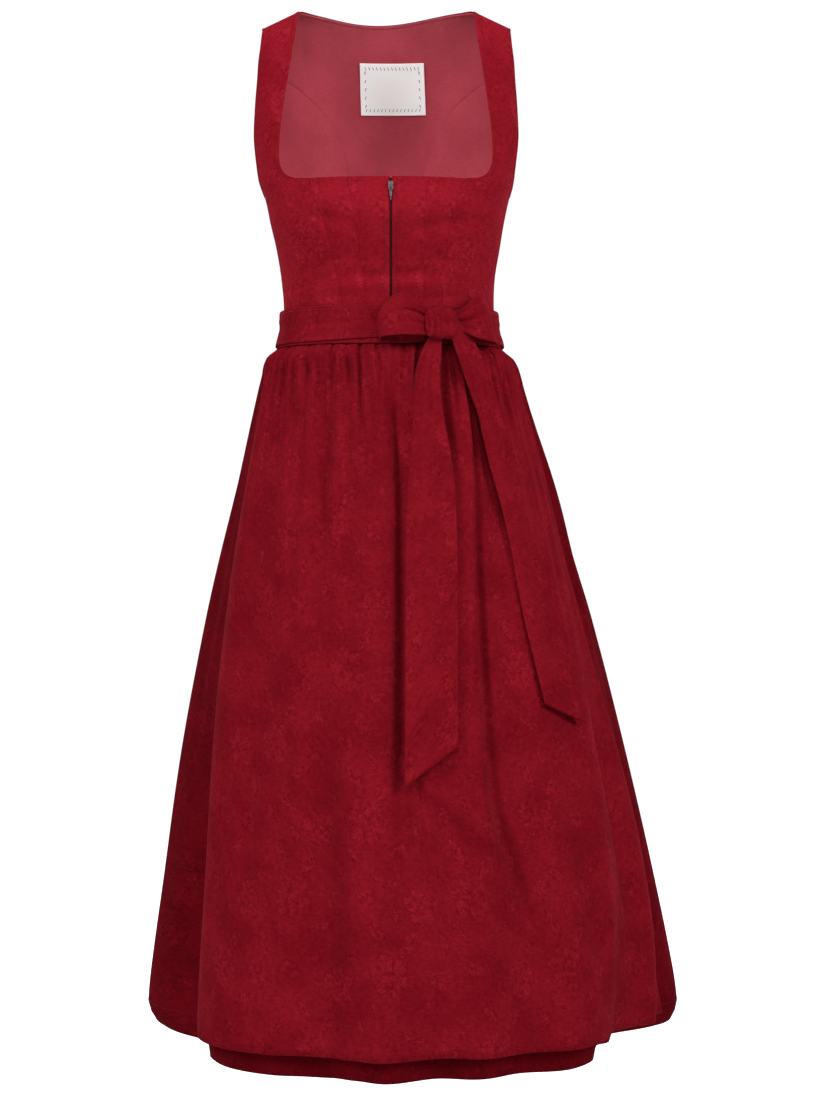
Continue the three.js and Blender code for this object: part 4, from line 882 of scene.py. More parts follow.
# Clefts: deep narrow folds of the apron and the skirt under it, from height to height: angle,
# width in mm and depth.
CLEFTS = tuple(table("z angle wide deep", rows) for rows in (
    ((-392, 1.7, 3, -2), (-425, 0.7, 3.5, -5), (-464, -0.1, 4, -7), (-515, 0.6, 4, -8),
     (-564, 1.3, 4, -8),
     (-630, 1.0, 4, -8), (-716, 0.3, 4.5, -8), (-822, -0.4, 6, -8), (-916, -0.6, 9, -4),
     (-1040, -0.2, 10, 0)),
    ((-393, 33.5, 3, -4), (-435, 33, 4, -9), (-480, 33, 4.5, -11), (-542, 30.2, 5, -12),
     (-608, 26.9, 5.5, -14),
     (-695, 24.2, 6, -14), (-770, 23.1, 6, -13), (-885, 22.1, 8, -11), (-961, 25.5, 9, -8),
     (-1032, 29.3, 10, -5), (-1110, 33, 10, 0)),
    ((-391, -26.5, 2, -4), (-414, -25.3, 2.5, -7), (-453, -25.2, 3, -6), (-497, -24.7, 4, -6),
     (-553, -24.7, 4.5, -5), (-625, -24.1, 5, 0)),
    ((-436, -31, 6, 0), (-486, -28, 7, -4), (-542, -26.8, 6, -4), (-600, -26, 6, 0)),
    ((-394, -12, 3, -6), (-431, -12.2, 4, -8), (-464, -12.1, 4.5, -6), (-503, -10.3, 5, -3),
     (-560, -7.4, 6, 0)),
    ((-392, 25.1, 3, -6), (-430, 22.2, 4, -10), (-470, 21.3, 4.5, -9), (-509, 21.6, 5, -5),
     (-564, 19.9, 5, 0)),
    ((-390, -60, 2.5, -4), (-416, -54.4, 3, -5), (-450, -53.7, 4, -4), (-520, -50.8, 5, 0)),
    ((-392, -42, 2.5, -4), (-416, -37.7, 3, -4), (-450, -35.6, 4, 0)),
    ((-392, -19.1, 2, -4), (-415, -17.2, 3, -4), (-446, -16.9, 3, 0)),
    ((-392, -4.5, 2, -4), (-411, -3.9, 3, -4), (-440, -3.8, 3, 0)),
    ((-392, 5.7, 2, -4), (-414, 5.9, 3, -4), (-446, 6.2, 3, 0)),
    ((-392, 12.1, 2, -4), (-419, 10.3, 3, -4), (-458, 8.4, 3, 0)),
    ((-393, 57, 3, -4), (-434, 48.4, 3.5, -6), (-485, 46.9, 4, -6), (-541, 45.5, 4.5, -6),
     (-608, 44.4, 5, -4), (-690, 43, 6, 0)),
    ((-391, 70, 3, -3), (-427, 58.4, 3, -5), (-462, 55, 4, -5), (-530, 52.4, 5, 0)),
    ((-674, -41.2, 14, 0), (-783, -39.6, 18, -5), (-891, -40.1, 22, -6), (-997, -40.3, 22, -4),
     (-1100, -40, 20, 0)),
    ((-716, -16.9, 12, 0), (-844, -18.3, 16, -6), (-991, -21.9, 20, -7), (-1174, -23.5, 22, -6)),
    ((-906, -10.7, 10, 0), (-989, -12.4, 12, 3), (-1174, -13.2, 14, 5)),
    ((-760, 60, 8, 0), (-860, 61, 12, -6), (-960, 62, 14, -8), (-1174, 64, 16, -8))))
LEVELS = ("high", "mid", "low")
GATHERS_FULL = -424.0
# Creases between the long folds: angle and height of both ends, width in mm, depth.
HANG_CREASES = (
    (-8, -405, -6, -640, 7, -3.0), (12, -400, 7, -610, 6, -3.2), (-14, -398, -11, -560, 5, -2.6),
    (17, -398, 16, -520, 5, 2.2), (-27, -400, -24, -620, 7, -3.4), (-40, -402, -33, -700, 9, -3.6),
    (-46, -400, -40, -560, 5, -2.4), (-60, -402, -50, -760, 10, -3.8), (-68, -400, -60, -600, 7, -2.8),
    (33, -402, 22, -700, 8, 3.2), (48, -402, 36, -640, 7, -3.2), (54, -400, 46, -560, 6, -2.4),
    (66, -402, 57, -760, 9, -3.6), (72, -400, 64, -560, 6, -2.4), (6, -640, 9, -930, 14, -3.0),
    (-20, -700, -10, -1060, 16, 3.5), (-32, -760, -30, -1120, 18, -4.0), (20, -760, 15, -1040, 15, 3.5),
    (34, -800, 36, -1130, 18, -4.5), (-8, -820, 8, -905, 13, -5.0), (3, -862, 19, -925, 14, 5.5),
    (6, -905, 20, -960, 12, -4.5), (-12, -1000, 1, -1046, 16, 4.0), (48, -860, 52, -1120, 18, 4.0),
    (-50, -840, -46, -1130, 20, -4.0), (-88, -470, -82, -900, 16, -4.0),
    (-96, -560, -93, -1100, 20, 4.5),
    (84, -460, 71, -820, 12, 3.5), (98, -480, 90, -960, 15, -4.5), (114, -430, 113, -760, 10, -3.5),
    (132, -420, 130, -820, 12, 3.5), (150, -420, 151, -720, 10, -3.4), (154, -700, 150, -1140, 18, 4.5),
    (171, -420, 172, -860, 12, -3.8), (188, -420, 191, -700, 10, 3.2),
    (192, -720, 191, -1150, 20, -4.5),
    (209, -420, 212, -820, 12, -3.6), (229, -420, 231, -760, 11, 3.4), (246, -430, 248, -840, 12, -3.8),
    (232, -800, 233, -1150, 20, -4.2), (130, -860, 131, -1150, 20, -4.0),
    (172, -900, 172, -1150, 18, 4.0))


def folds_at(angle, z):
    """Sum over the long folds of depth times exp(-(turn/width)^2 / 2); a fold's place and depth
    go straight from the waist to half way and from there to the hem."""
    down = (WAIST_HEIGHT - z) / (WAIST_HEIGHT - SKIRT_HEM)
    total = 0.0
    for i in range(len(FOLDS["high"])):
        at = lambda kind: np.interp(down, (0.0, 0.5, 1.0), [FOLDS[kind + end][i] for end in LEVELS])
        wide = FOLDS["wide_high"][i] + (FOLDS["wide_low"][i] - FOLDS["wide_high"][i]) * down
        turn = (angle - at("") + 540) % 360 - 180
        total = total + at("deep_") * np.exp(-0.5 * (turn / wide) ** 2)
    return total


def creases_at(angle, z):
    """Sum over the clefts and creases of depth times exp(-(distance/width)^2), tapered at both
    ends."""
    reach = along(FORM, "half", z)
    total = 0.0
    for cleft in CLEFTS:
        turn = (angle - along(cleft, "angle", z) + 540) % 360 - 180
        distance = np.radians(turn) * reach
        ends = fade(z, cleft["z"][0] + 14, cleft["z"][0]) * fade(z, cleft["z"][-1] - 1, cleft["z"][-1])
        total = total + along(cleft, "deep", z) * ends * bell(distance, along(cleft, "wide", z))
    for turn_top, top, turn_low, low, wide, deep in HANG_CREASES:
        t = (top - z) / (top - low)
        distance = np.radians((angle - turn_top - (turn_low - turn_top) * t + 540) % 360 - 180) * reach
        taper = fade(t, -0.12, 0.3) * fade(t, 1.2, 0.6)
        total = total + deep * taper * bell(distance, wide)
    return total


def gather_wave(line):
    """Gathers, one to four grid lines: rounded ridges between narrow grooves, the square root of
    a lifted sine, each a little higher or lower than the next, with finer ones among them."""
    wave = np.sin(line * np.pi / 2 + 0.35 * np.sin(0.61 * line))
    ridge = 2 * np.sqrt(0.5 * (1 + wave) + 0.02) - 1.05
    return ridge * (0.75 + 0.4 * np.sin(1.3 * line)) + 0.2 * np.sin(line * np.pi * 1.27 + 0.8)


def hanging(angle, z, line, lift):
    """A point of the hanging cloth: the form moved out by folds, creases and gathers. Some
    gathers run twice as far down as others."""
    longer = 0.85 + 0.4 * np.sin(0.83 * line + 0.6)
    out = folds_at(angle, z) * fade(z, BAND_BOTTOM, -440) + creases_at(angle, z)
    below = GATHERS_FULL + (z - GATHERS_FULL) / longer
    deep = along(GATHERS, "deep", np.where(z < GATHERS_FULL, below, z))
    return form(angle, z, out + gather_wave(line) * deep + lift)


APRON_EDGES = table("z left right clear", (
    (-389, -80, 80, 0.5), (-460, -77, 76, 0.6), (-600, -70, 71, 0.9), (-800, -61, 70, 2),
    (-975, -57, 74, 4), (-1150, -53, 80, 7)))


def side_angle(z):
    """The side seams, 102 degrees round at the waist and 106 at the hem."""
    return 102.0 + 4.0 * (WAIST_HEIGHT - z) / (WAIST_HEIGHT - SKIRT_HEM)


def front_angle(line, z):
    """The angle of a front grid line: 0 to 88 lie under the apron, the others beside it."""
    left, right, side = along(APRON_EDGES, "left", z), along(APRON_EDGES, "right", z), side_angle(z)
    under = left + (right - left) * line / APRON_LINES
    beside_left = left + (-side - left) * line / -MARGIN_LINES
    beside_right = right + (side - right) * (line - APRON_LINES) / MARGIN_LINES
    return np.where(line < 0, beside_left, np.where(line > APRON_LINES, beside_right, under))


def back_angle(line, z):
    """The angle of a back grid line, from the right side seam to the left one."""
    return side_angle(z) + (360 - 2 * side_angle(z)) * line / (2 * BACK_LINES)


def drop_rows(top, bottom, count):
    """Heights from top to bottom, close together in the gathers and wider below them."""
    share = np.linspace(0, 1, count)
    return (top + (bottom - top) * (0.34 * share + 0.66 * share ** 2))[:, None]


def hung_panel(name, angle_of, first, last, columns, z, inner_lift, outer_lift, widths, finishes,
               hem, tuck=0.0, solid_hem=True):
    """A gathered panel between two grid lines. widths: the cut's width at its top and its hem.
    The cloth is doubled up to the hem's stitching. tuck: how far the hem curls in under the apron.
    solid_hem: whether it also curls in at the dress's two sides."""
    line = np.linspace(first, last, columns)[None] + 0 * z
    lap = np.degrees(SEAM_LAP / along(FORM, "half", z))
    share = (line - first) / (last - first)
    angle = angle_of(line, z) - lap * (1 - 2 * share)
    from_hem = z - z[-1] + 0 * line
    doubled = 0.35 * fade(from_hem, hem, hem - 1.5) - 0.45 * bell(from_hem - hem, 1.3)
    curl = tuck * fade(line, -6, 4) * fade(line, 94, 84) * fade(from_hem, 40, 0)
    if solid_hem:
        from_side = np.abs((angle + 180) % 360 - 180) - 92
        curl = curl + SIDE_CURL * bell(from_side, 14) * np.maximum(1 - from_hem / 30, 0) ** 2
    outer = hanging(angle, z, line, outer_lift + doubled - curl)
    inner = hanging(angle, z, line, inner_lift - curl)
    wide = widths[0] + (widths[1] - widths[0]) * (z - z[0]) / (z[-1] - z[0])
    down = lengths(outer, 0)[:, columns // 2][:, None] * MM
    flat = np.stack([(share - 0.5) * wide, -down + 0 * share], axis=-1)
    return wall_of_cloth(name, outer, inner, finishes, rim=0.6, flat=flat)


# The skirt is the bodice's jacquard, but its colours are set much darker: painted shade of the skirt's
# sides and of its hem under the apron, put into the cloth's colour.
shaded_skirt_jacquard = jacquard_cloth(
    "shaded_skirt_jacquard", (108, 11, 22), (95, 8, 18), (117, 15, 28), (78, 6, 14), 0.05)
skirt_reverse = plain_cloth("skirt_reverse", (104, 14, 24), (88, 10, 19))
skirt_z = drop_rows(WAIST_HEIGHT + SEAM_LAP, SKIRT_HEM, 112)
for name, solid, angle_of, first, last, columns, widths, cut, area, tuck in (
        ("skirt_front_cloth", "skirt_front", front_angle, -MARGIN_LINES, APRON_LINES + MARGIN_LINES, 240,
         (0.72, 1.30), (1.30, 0.82), 0.82, 11.0),
        ("skirt_right_cloth", "skirt_back_right", back_angle, 0.0, BACK_LINES, 120,
         (0.26, 0.50), (0.50, 0.82), 0.31, 0.0),
        ("skirt_left_cloth", "skirt_back_left", back_angle, BACK_LINES, 2 * BACK_LINES, 120,
         (0.26, 0.50), (0.50, 0.82), 0.31, 0.0)):
    piece = hung_panel(name, angle_of, first, last, columns, skirt_z, -SKIRT_WALL, 0.0, widths,
                       (shaded_skirt_jacquard, skirt_reverse), HEM_TURNED, tuck)
    sewn_on(piece, solid)

# ---------------------------------------------------------------------------------------------
# Apron: one wide panel of the same jacquard, gathered into the band and hanging clear of the
# skirt, with narrow turned sides and a stitched hem.
# ---------------------------------------------------------------------------------------------
APRON_WALL = 1.4
APRON_HEM = -1150.0
APRON_TURNED = 24.0
BRIDGE = 32.0


def apron_clear(line, z):
    """How far the apron hangs clear of the skirt: its right side bridges the fold behind it."""
    return along(APRON_EDGES, "clear", z) + BRIDGE * fade(line, 66, 82) * fade(z, -700, -1080)


# The apron's copy of the jacquard is set darker than the bodice's: painted shade of the front below the
# waist, put into the cloth's colour. The band, ties and bow are made of it too.
shaded_apron_jacquard = jacquard_cloth(
    "shaded_apron_jacquard", (134, 20, 33), (120, 15, 27), (145, 25, 39), (100, 9, 19), 0.08)
apron_reverse = plain_cloth("apron_reverse", (112, 14, 24), (96, 10, 20))
apron_z = drop_rows(BAND_BOTTOM - 0.4, APRON_HEM, 122)
clear = apron_clear(np.linspace(0, APRON_LINES, 320)[None], apron_z)
piece = hung_panel("apron_cloth", front_angle, 0.0, APRON_LINES, 320, apron_z, clear, clear + APRON_WALL,
                   (0.50, 0.84), (shaded_apron_jacquard, apron_reverse), APRON_TURNED, solid_hem=False)
sewn_on(piece, "apron_panel")

# ---------------------------------------------------------------------------------------------
# Apron band and ties: doubled strips of the apron's jacquard. Each tie leaves its end of the
# band, crosses the other in the small of the back and comes forward over the band to the bow.
# ---------------------------------------------------------------------------------------------
TIE_WALL = 1.8
BAND_TOP = -346.0
BAND_MIDDLE = -367.0
BAND_IN = 1.4
TIE_IN = BAND_IN + TIE_WALL + 0.5
BAND_END = 80.0
BAND_STITCH = 2.5
TIE_LEFT = table("turn middle tall layer", (
    (0, -367.5, 41, 0), (16, -367.5, 40, 0), (28, -364, 33, 0), (40, -358, 21, 0), (52, -357, 19, 0),
    (74, -357, 19, 0), (86, -358, 20, 1), (100, -364, 27, 1), (125, -367.5, 39, 1), (200, -367, 40, 1),
    (232, -366, 38, 1), (248, -366, 28, 1)))
TIE_RIGHT = table("turn middle tall layer", (
    (0, -367.5, 41, 0), (60, -367.5, 40, 0), (84, -367.5, 35, 0), (98, -371, 28, 0),
    (112, -379, 18.5, 0),
    (128, -380, 17.5, 0), (144, -380, 17.5, 0), (156, -378, 21, 1), (174, -369, 37, 1),
    (210, -366.5, 40, 1), (250, -366, 39, 1), (273, -365, 36, 1), (288, -366, 30, 1)))

# Lengthwise folds of the ties: degrees gone at both ends, share of the height there, width, depth.
TIE_CREASES = {
    "left": (
        (6, 0.25, 70, 0.1, 0.09, -0.5), (20, 0.75, 96, 0.55, 0.08, 0.5),
        (60, 0.35, 150, 0.7, 0.08, -0.5),
        (120, 0.25, 236, 0.38, 0.07, 0.55), (170, 0.68, 248, 0.55, 0.06, -0.45),
        (205, 0.2, 248, 0.42, 0.06, -0.5), (190, 0.85, 246, 0.68, 0.06, 0.5)),
    "right": (
        (4, 0.6, 90, 0.5, 0.09, -0.5), (40, 0.25, 130, 0.45, 0.08, 0.5),
        (96, 0.7, 180, 0.62, 0.08, -0.5),
        (150, 0.3, 250, 0.24, 0.07, 0.55), (200, 0.72, 282, 0.6, 0.06, 0.6),
        (228, 0.5, 286, 0.44, 0.05, -0.55),
        (246, 0.2, 288, 0.3, 0.05, -0.5), (236, 0.88, 288, 0.8, 0.05, -0.4))}


def band_point(angle, z, lift):
    """The form ruled straight from the band's middle line up to its top and down to its foot."""
    end = np.where(z > BAND_MIDDLE, BAND_TOP, BAND_BOTTOM)
    share = ((z - BAND_MIDDLE) / (end - BAND_MIDDLE))[..., None]
    return form(angle, BAND_MIDDLE, lift) * (1 - share) + form(angle, end, lift) * share


def tie_relief(turn, share, rows):
    """Sum over the lengthwise folds of depth times exp(-(share/width)^2), soft at both ends."""
    total = 0.12 * np.sin(turn / 2.1 + 3 * share) * np.sin(np.pi * share)
    for start, share_from, end, share_to, wide, deep in rows:
        t = (turn - start) / (end - start)
        middle = share_from + (share_to - share_from) * t
        total = total + deep * fade(t, 0.0, 0.2) * fade(t, 1.05, 0.8) * bell(share - middle, wide)
    return total


def strip(name, outer, inner, mirrored=False):
    """A doubled strip of the apron's jacquard. mirrored: its columns run from the right."""
    if mirrored:
        outer, inner = outer[:, ::-1], inner[:, ::-1]
    return wall_of_cloth(name, outer, inner, (shaded_apron_jacquard, shaded_apron_jacquard), rim=0.8)


def tie_wall(name, rows, direction):
    """A tie: turn runs from the band's end to the knot, share from its top edge to its foot."""
    turn = np.linspace(0.15, rows["turn"][-1], 300)[None]
    share = np.linspace(0, 1, 26)[:, None]
    z = along(rows, "middle", turn, "turn") + (0.5 - share) * along(rows, "tall", turn, "turn")
    lift = BAND_IN + (TIE_IN - BAND_IN) * along(rows, "layer", turn, "turn")
    relief = tie_relief(turn, share, TIE_CREASES[name.split("_")[1]])
    rolled = -0.5 * (np.exp(-share / 0.05) + np.exp((share - 1) / 0.05))
    angle = direction * (BAND_END + turn)
    outer = band_point(angle, z, lift + TIE_WALL + relief + rolled)
    inner = band_point(angle, z, lift + np.maximum(0.35 * relief, -0.2))
    return strip(name, outer, inner, mirrored=direction < 0)


angle = np.linspace(-BAND_END, BAND_END, 220)[None]
share = np.linspace(0, 1, 26)[:, None]
z = BAND_TOP + (BAND_BOTTOM - BAND_TOP) * share + 0 * angle
beside_edge = np.minimum(share, 1 - share) * (BAND_TOP - BAND_BOTTOM)
relief = 0.15 * np.sin(angle / 1.7) * np.exp(-beside_edge / 5)
relief = relief - 0.3 * bell(beside_edge - BAND_STITCH, 0.7)
outer = band_point(angle, z, BAND_IN + TIE_WALL + relief)
inner = band_point(angle, z, BAND_IN + 0 * relief)
sewn_on(strip("band", outer, inner), "apron_waistband")
for name, rows, direction, long in (("tie_left", TIE_LEFT, -1, 0.52), ("tie_right", TIE_RIGHT, 1, 0.62)):
    sewn_on(tie_wall(name, rows, direction), f"apron_{name}")

# ---------------------------------------------------------------------------------------------
# Bow: the same two ties knotted left of the right hip. The knot is pleated where the cloth
# squeezes through it, the loops stand out hollow, and the tails hang to slanted ends.
# ---------------------------------------------------------------------------------------------
KNOT_ANGLE, KNOT_LIFT, KNOT_HEIGHT = 22.2, 20.0, -368.0
KNOT_ACROSS, KNOT_THICK, KNOT_TALL, KNOT_BOXY = 8.2, 12.4, 17.3, 0.68
LAYER_GAP = 0.4
BOW_STEPS = 150
LOOP_LEFT = table("angle lift top bottom", (
    (15, 21, -357, -381.5), (11.5, 28, -351.5, -381.5), (7.5, 32, -345, -382),
    (3.5, 32.5, -339.5, -382),
    (0, 29, -336, -382.5), (-2.8, 23, -335.5, -383.5), (-3.8, 16.5, -338, -386),
    (-2.4, 11.5, -341, -387.5), (1.5, 9.6, -344, -388), (7, 9.4, -349, -388), (15, 12, -354, -387)))
LOOP_RIGHT = table("angle lift top bottom", (
    (29, 20, -358, -371), (33, 24, -351, -377), (38, 27, -342, -382.5), (43, 27.5, -335, -385),
    (48.5, 25, -331.5, -386.5), (54, 20, -330.5, -387), (57.5, 14.5, -332, -387.5),
    (56, 10.5, -336, -388),
    (50, 9.4, -341, -388), (43, 9.4, -346, -387.5), (36.5, 10, -351, -385), (29, 13, -356, -380)))
# How far a loop's turn leans back towards the knot, in degrees, at each share of its height.
LOOP_LEANS = {"left": table("share lean", ((0, 5.8), (0.12, 4.2), (0.35, 1.2), (0.6, 0), (1, 1.0))),
              "right": table("share lean", ((0, -7), (0.12, -5), (0.3, -2), (0.55, -0.5), (1, 0)))}
TAIL_LEFT = table("left_z left right_z right lift", (
    (-379, 42, -379, 53, 17), (-391, 36.5, -391, 54, 10.5), (-405, 32, -405, 54.5, 5.5),
    (-425, 27.5, -425, 54, 2.5), (-455, 25.5, -455, 56.5, 1), (-490, 25, -487, 62, 0.5),
    (-545, 21, -540, 71, 0), (-610, 18.5, -600, 74, 0),
    (-700, 18, -680, 74.5, 0.5), (-790, 18, -760, 74, 1), (-871, 18, -829, 73.5, 2)))
TAIL_RIGHT = table("left_z left right_z right lift", (
    (-374, 54, -364, 66, 23), (-387, 61, -374, 75, 20), (-397, 66, -390, 87, 13),
    (-412, 73, -408, 97, 7), (-430, 80, -427, 107, 3.5), (-472, 96, -466, 121, 1),
    (-520, 108, -512, 134, 0), (-590, 127, -590, 155, -1), (-680, 143.5, -685, 184, -1),
    (-735, 154, -748, 194, 2), (-787, 165, -808, 207, 4)))
# Folds across a loop's height, running out of the knot: share at the knot and at the turn, width,
# depth.
LOOP_PLEATS = {
    "left": ((0.1, 0.5, 0.055, -3.8), (0.3, 0.75, 0.12, 1.0), (0.55, 0.6, 0.09, -1.0),
             (0.8, 0.88, 0.08, -1.1)),
    "right": ((0.2, 0.1, 0.08, -1.2), (0.58, 0.36, 0.07, -3.6), (0.4, 0.2, 0.1, 0.9),
              (0.82, 0.72, 0.09, -1.8))}
# Folds of the tails: share across and height at both ends, width as a share, depth.
TAIL_FOLDS = {
    "left": ((0.3, -392, 0.22, -480, 0.12, -2.0), (0.65, -392, 0.7, -470, 0.13, -1.8),
             (0.5, -420, 0.45, -620, 0.2, 1.4),
             (0.15, -560, 0.2, -800, 0.18, 0.9), (0.8, -520, 0.75, -760, 0.2, -0.9)),
    "right": ((0.3, -392, 0.35, -470, 0.12, -2.0), (0.7, -392, 0.6, -500, 0.13, -1.8),
              (0.5, -440, 0.55, -640, 0.2, 1.4),
              (0.25, -600, 0.3, -780, 0.2, 1.6), (0.7, -660, 0.6, -800, 0.18, -1.8))}


def knot_shape():
    """A boxy ball, each direction's sines raised to a power, bent round the waist. Upright pleats
    are cut into its left half, deepest across the middle."""
    polar = np.linspace(0.02, np.pi - 0.02, 90)[:, None]
    turn = np.linspace(0, 2 * np.pi, 120, endpoint=False)[None]
    across = power(np.sin(polar) * np.sin(turn), KNOT_BOXY)
    out = power(np.sin(polar) * np.cos(turn), KNOT_BOXY)
    up = power(np.cos(polar) + 0 * turn, KNOT_BOXY)
    size = np.maximum(1.0, np.sqrt(across ** 2 + out ** 2 + up ** 2) / 1.25)
    across, out, up = across / size, out / size, up / size
    pleat = np.cos(across * 19 + 3.0 * up ** 2 + 0.8 * up) * fade(across, 0.22, -0.05)
    pleat = pleat * (1 - 0.35 * up ** 2)
    crease = -1.3 * bell(across - 0.16 - 0.14 * up + 0.1 * up ** 2, 0.055)
    swell = 0.9 * fade(across, 0.15, 0.5) + 1.6 * pleat + 1.3 * crease
    lift = KNOT_LIFT + out * KNOT_THICK + swell * fade(out, 0.0, 0.6)
    angle = KNOT_ANGLE + across * KNOT_ACROSS
    height = KNOT_HEIGHT + up * KNOT_TALL * (1 - 0.04 * np.sin(9 * across))
    return band_point(angle, height, lift), across, up


def closed_ball(name, points, flat, finish):
    """A closed surface from rings of points, with a point at each pole."""
    rows, columns = points.shape[:2]
    number = np.arange(rows * columns).reshape(rows, columns)
    beside = np.roll(number, -1, axis=1)
    quads = np.stack([number[:-1], number[1:], beside[1:], beside[:-1]], -1).reshape(-1, 4).tolist()
    top, low = rows * columns, rows * columns + 1
    caps = [[top, number[0, j], beside[0, j]] for j in range(columns)]
    caps += [[low, beside[-1, j], number[-1, j]] for j in range(columns)]
    poles = np.stack([points[0].mean(axis=0), points[-1].mean(axis=0)])
    made = smooth_piece(name, np.concatenate([points.reshape(-1, 3), poles]), quads + caps, (finish,))
    lay_flat(made, np.concatenate([flat.reshape(-1, 2), flat[0, :1], flat[-1, :1]]))
    return made


points, across, up = knot_shape()
flat = np.stack([across * 0.022, up * 0.0185], axis=-1)
knot = closed_ball("knot", points, flat, shaded_apron_jacquard)
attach(knot, "garment")
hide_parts("bow_knot")


def loop_wall(name, rows, turned):
    """A loop: its middle line leaves the knot in front and comes back behind, and its height runs
    between the top and bottom columns. Pleats fade out away from the knot."""
    share = np.linspace(0, 1, 34)[:, None]
    angle, lift, top, bottom = map(evenly(rows, BOW_STEPS), ("angle", "lift", "top", "bottom"))
    gone = np.linspace(0, 1, BOW_STEPS)
    side = name.split("_")[1]
    spine = band_point(angle, np.full(BOW_STEPS, BAND_MIDDLE), lift)
    ahead = np.gradient(spine, axis=0)
    ahead /= np.linalg.norm(ahead, axis=1, keepdims=True)
    normal = np.stack([ahead[:, 1], -ahead[:, 0], 0 * ahead[:, 0]], axis=-1) * turned
    z = top + (bottom - top) * share
    from_knot = np.minimum(gone, 1 - gone) * 2
    relief = 0.35 * np.sin(gone * 23 + 5 * share) * np.sin(np.pi * share) * np.sin(np.pi * gone)
    for at_knot, at_turn, wide, deep in LOOP_PLEATS[side]:
        middle = at_knot + (at_turn - at_knot) * from_knot
        relief = relief + deep * fade(from_knot, 0.95, 0.1) * bell(share - middle, wide)
    relief = np.where(gone > 0.5, 0.3 * relief, relief)
    leaned = angle + along(LOOP_LEANS[side], "lean", share, "share") * fade(from_knot, 0.25, 1.0)
    middle = band_point(leaned, z, lift + 0 * z)
    outer = middle + normal[None] * (TIE_WALL / 2 + relief[..., None])
    inner = middle + normal[None] * (-TIE_WALL / 2 + relief[..., None])
    return strip(name, outer, inner, mirrored=turned < 0)


for name, rows, turned, long in (("loop_left", LOOP_LEFT, -1, 0.113),
                                 ("loop_right", LOOP_RIGHT, 1, 0.124)):
    sewn_on(loop_wall(name, rows, turned), f"bow_{name}")


def tail_wall(name, rows):
    """A tail: level-ended strips between its two edges, lying on the apron and standing off it by
    the lift column, with folds that run down from the knot."""
    at = evenly(rows, BOW_STEPS)
    share = np.linspace(0, 1, 40)[None]
    left, left_z = at("left")[:, None], at("left_z")[:, None]
    right, right_z = at("right")[:, None], at("right_z")[:, None]
    lift = at("lift")[:, None]
    x = left + (right - left) * share
    z = left_z + (right_z - left_z) * share
    relief = 0.0
    for share_from, top, share_to, low, wide, deep in TAIL_FOLDS[name.split("_")[1]]:
        t = (top - z) / (top - low)
        middle = share_from + (share_to - share_from) * t
        relief = relief + deep * fade(t, -0.1, 0.15) * fade(t, 1.15, 0.6) * bell(share - middle, wide)
    rest = along(APRON_EDGES, "clear", z) + APRON_WALL + LAYER_GAP + 1.1 * along(GATHERS, "deep", z)
    rest = rest + lift + np.maximum(relief, -0.8 * np.maximum(lift, 0.4))
    angle = angle_at(x, z)
    return strip(name, form(angle, z, rest + TIE_WALL), form(angle, z, rest))


for name, rows, long in (("tail_left", TAIL_LEFT, 0.485), ("tail_right", TAIL_RIGHT, 0.43)):
    sewn_on(tail_wall(name, rows), f"bow_{name}")

# ---------------------------------------------------------------------------------------------
# Zip: a fine coil zip in dark maroon set under the two folded edges of the front, with a nickel
# slider whose slim pull hangs from the arch on its back.
# ---------------------------------------------------------------------------------------------
ZIP_TOP, ZIP_BOTTOM = -206.5, -371.0
TAPE_WIDE = 13.0
CHAIN_HALF = 1.9
COIL_PITCH = 1.25


def zip_strip(name, left, right, start, thick, finish, columns=12):
    """A level-sided strip down the front, start deep under the bodice's outer face."""
    z = np.linspace(ZIP_TOP, ZIP_BOTTOM, 90)[:, None]
    x = ZIP_X + left + (right - left) * np.linspace(0, 1, columns)[None]
    angle = angle_at(x, z)
    z = z + 0 * x
    sunk = np.minimum(dented(x, z, FRONT_DENTS), 0.0)
    outer, inner = bodice_off(angle, z, sunk - start), bodice_off(angle, z, sunk - start - thick)
    return wall_of_cloth(name, outer, inner, (finish, finish), rim=0.3)


zip_twill, output, cut, ground_of = woven_material("zip_twill", 0.0006)
axes = axes_of(cut)
bones = calc("ABSOLUTE", calc("SUBTRACT", calc("FRACT", calc("DIVIDE", axes["X"], 0.0026)), 0.5))
twill = calc("SINE", calc("MULTIPLY", calc("MULTIPLY_ADD", bones, 0.0030, axes["Y"]), 9000.0))
colour = mixed(ramp(twill, -0.8, 0.8), rgb(54, 6, 13), rgb(74, 11, 20))
colour = times(colour, ramp(ground_of["Slub"], 0.2, 0.8, 0.88, 1.08))
painted(output, colour, 0.7, twill, 0.4, 0.0002, {"Specular IOR Level": 0.25})

for side, sign in SIDES:
    left, right = (-TAPE_WIDE, -0.1) if sign < 0 else (0.1, TAPE_WIDE)
    piece = zip_strip(f"tape_{side}", left, right, UNDER_CLOTH, 1.0, zip_twill)
    sewn_on(piece, f"zip_tape_{side}")


def flecked(name, scale, dark, light, rough, strength, shine):
    """Nylon or thread whose colour, roughness and bump all follow one fine noise."""
    material, tree, output = blank_material(name)
    fleck = noise(tree, node(tree, "ShaderNodeTexCoord").outputs["Object"], scale, 2.0)
    colour = mixed(ramp(fleck, 0.3, 0.7), rgb(*dark), rgb(*light))
    painted(output, colour, ramp(fleck, 0.3, 0.7, *rough), fleck, strength, 0.0001, {
        "Specular IOR Level": shine})
    return material


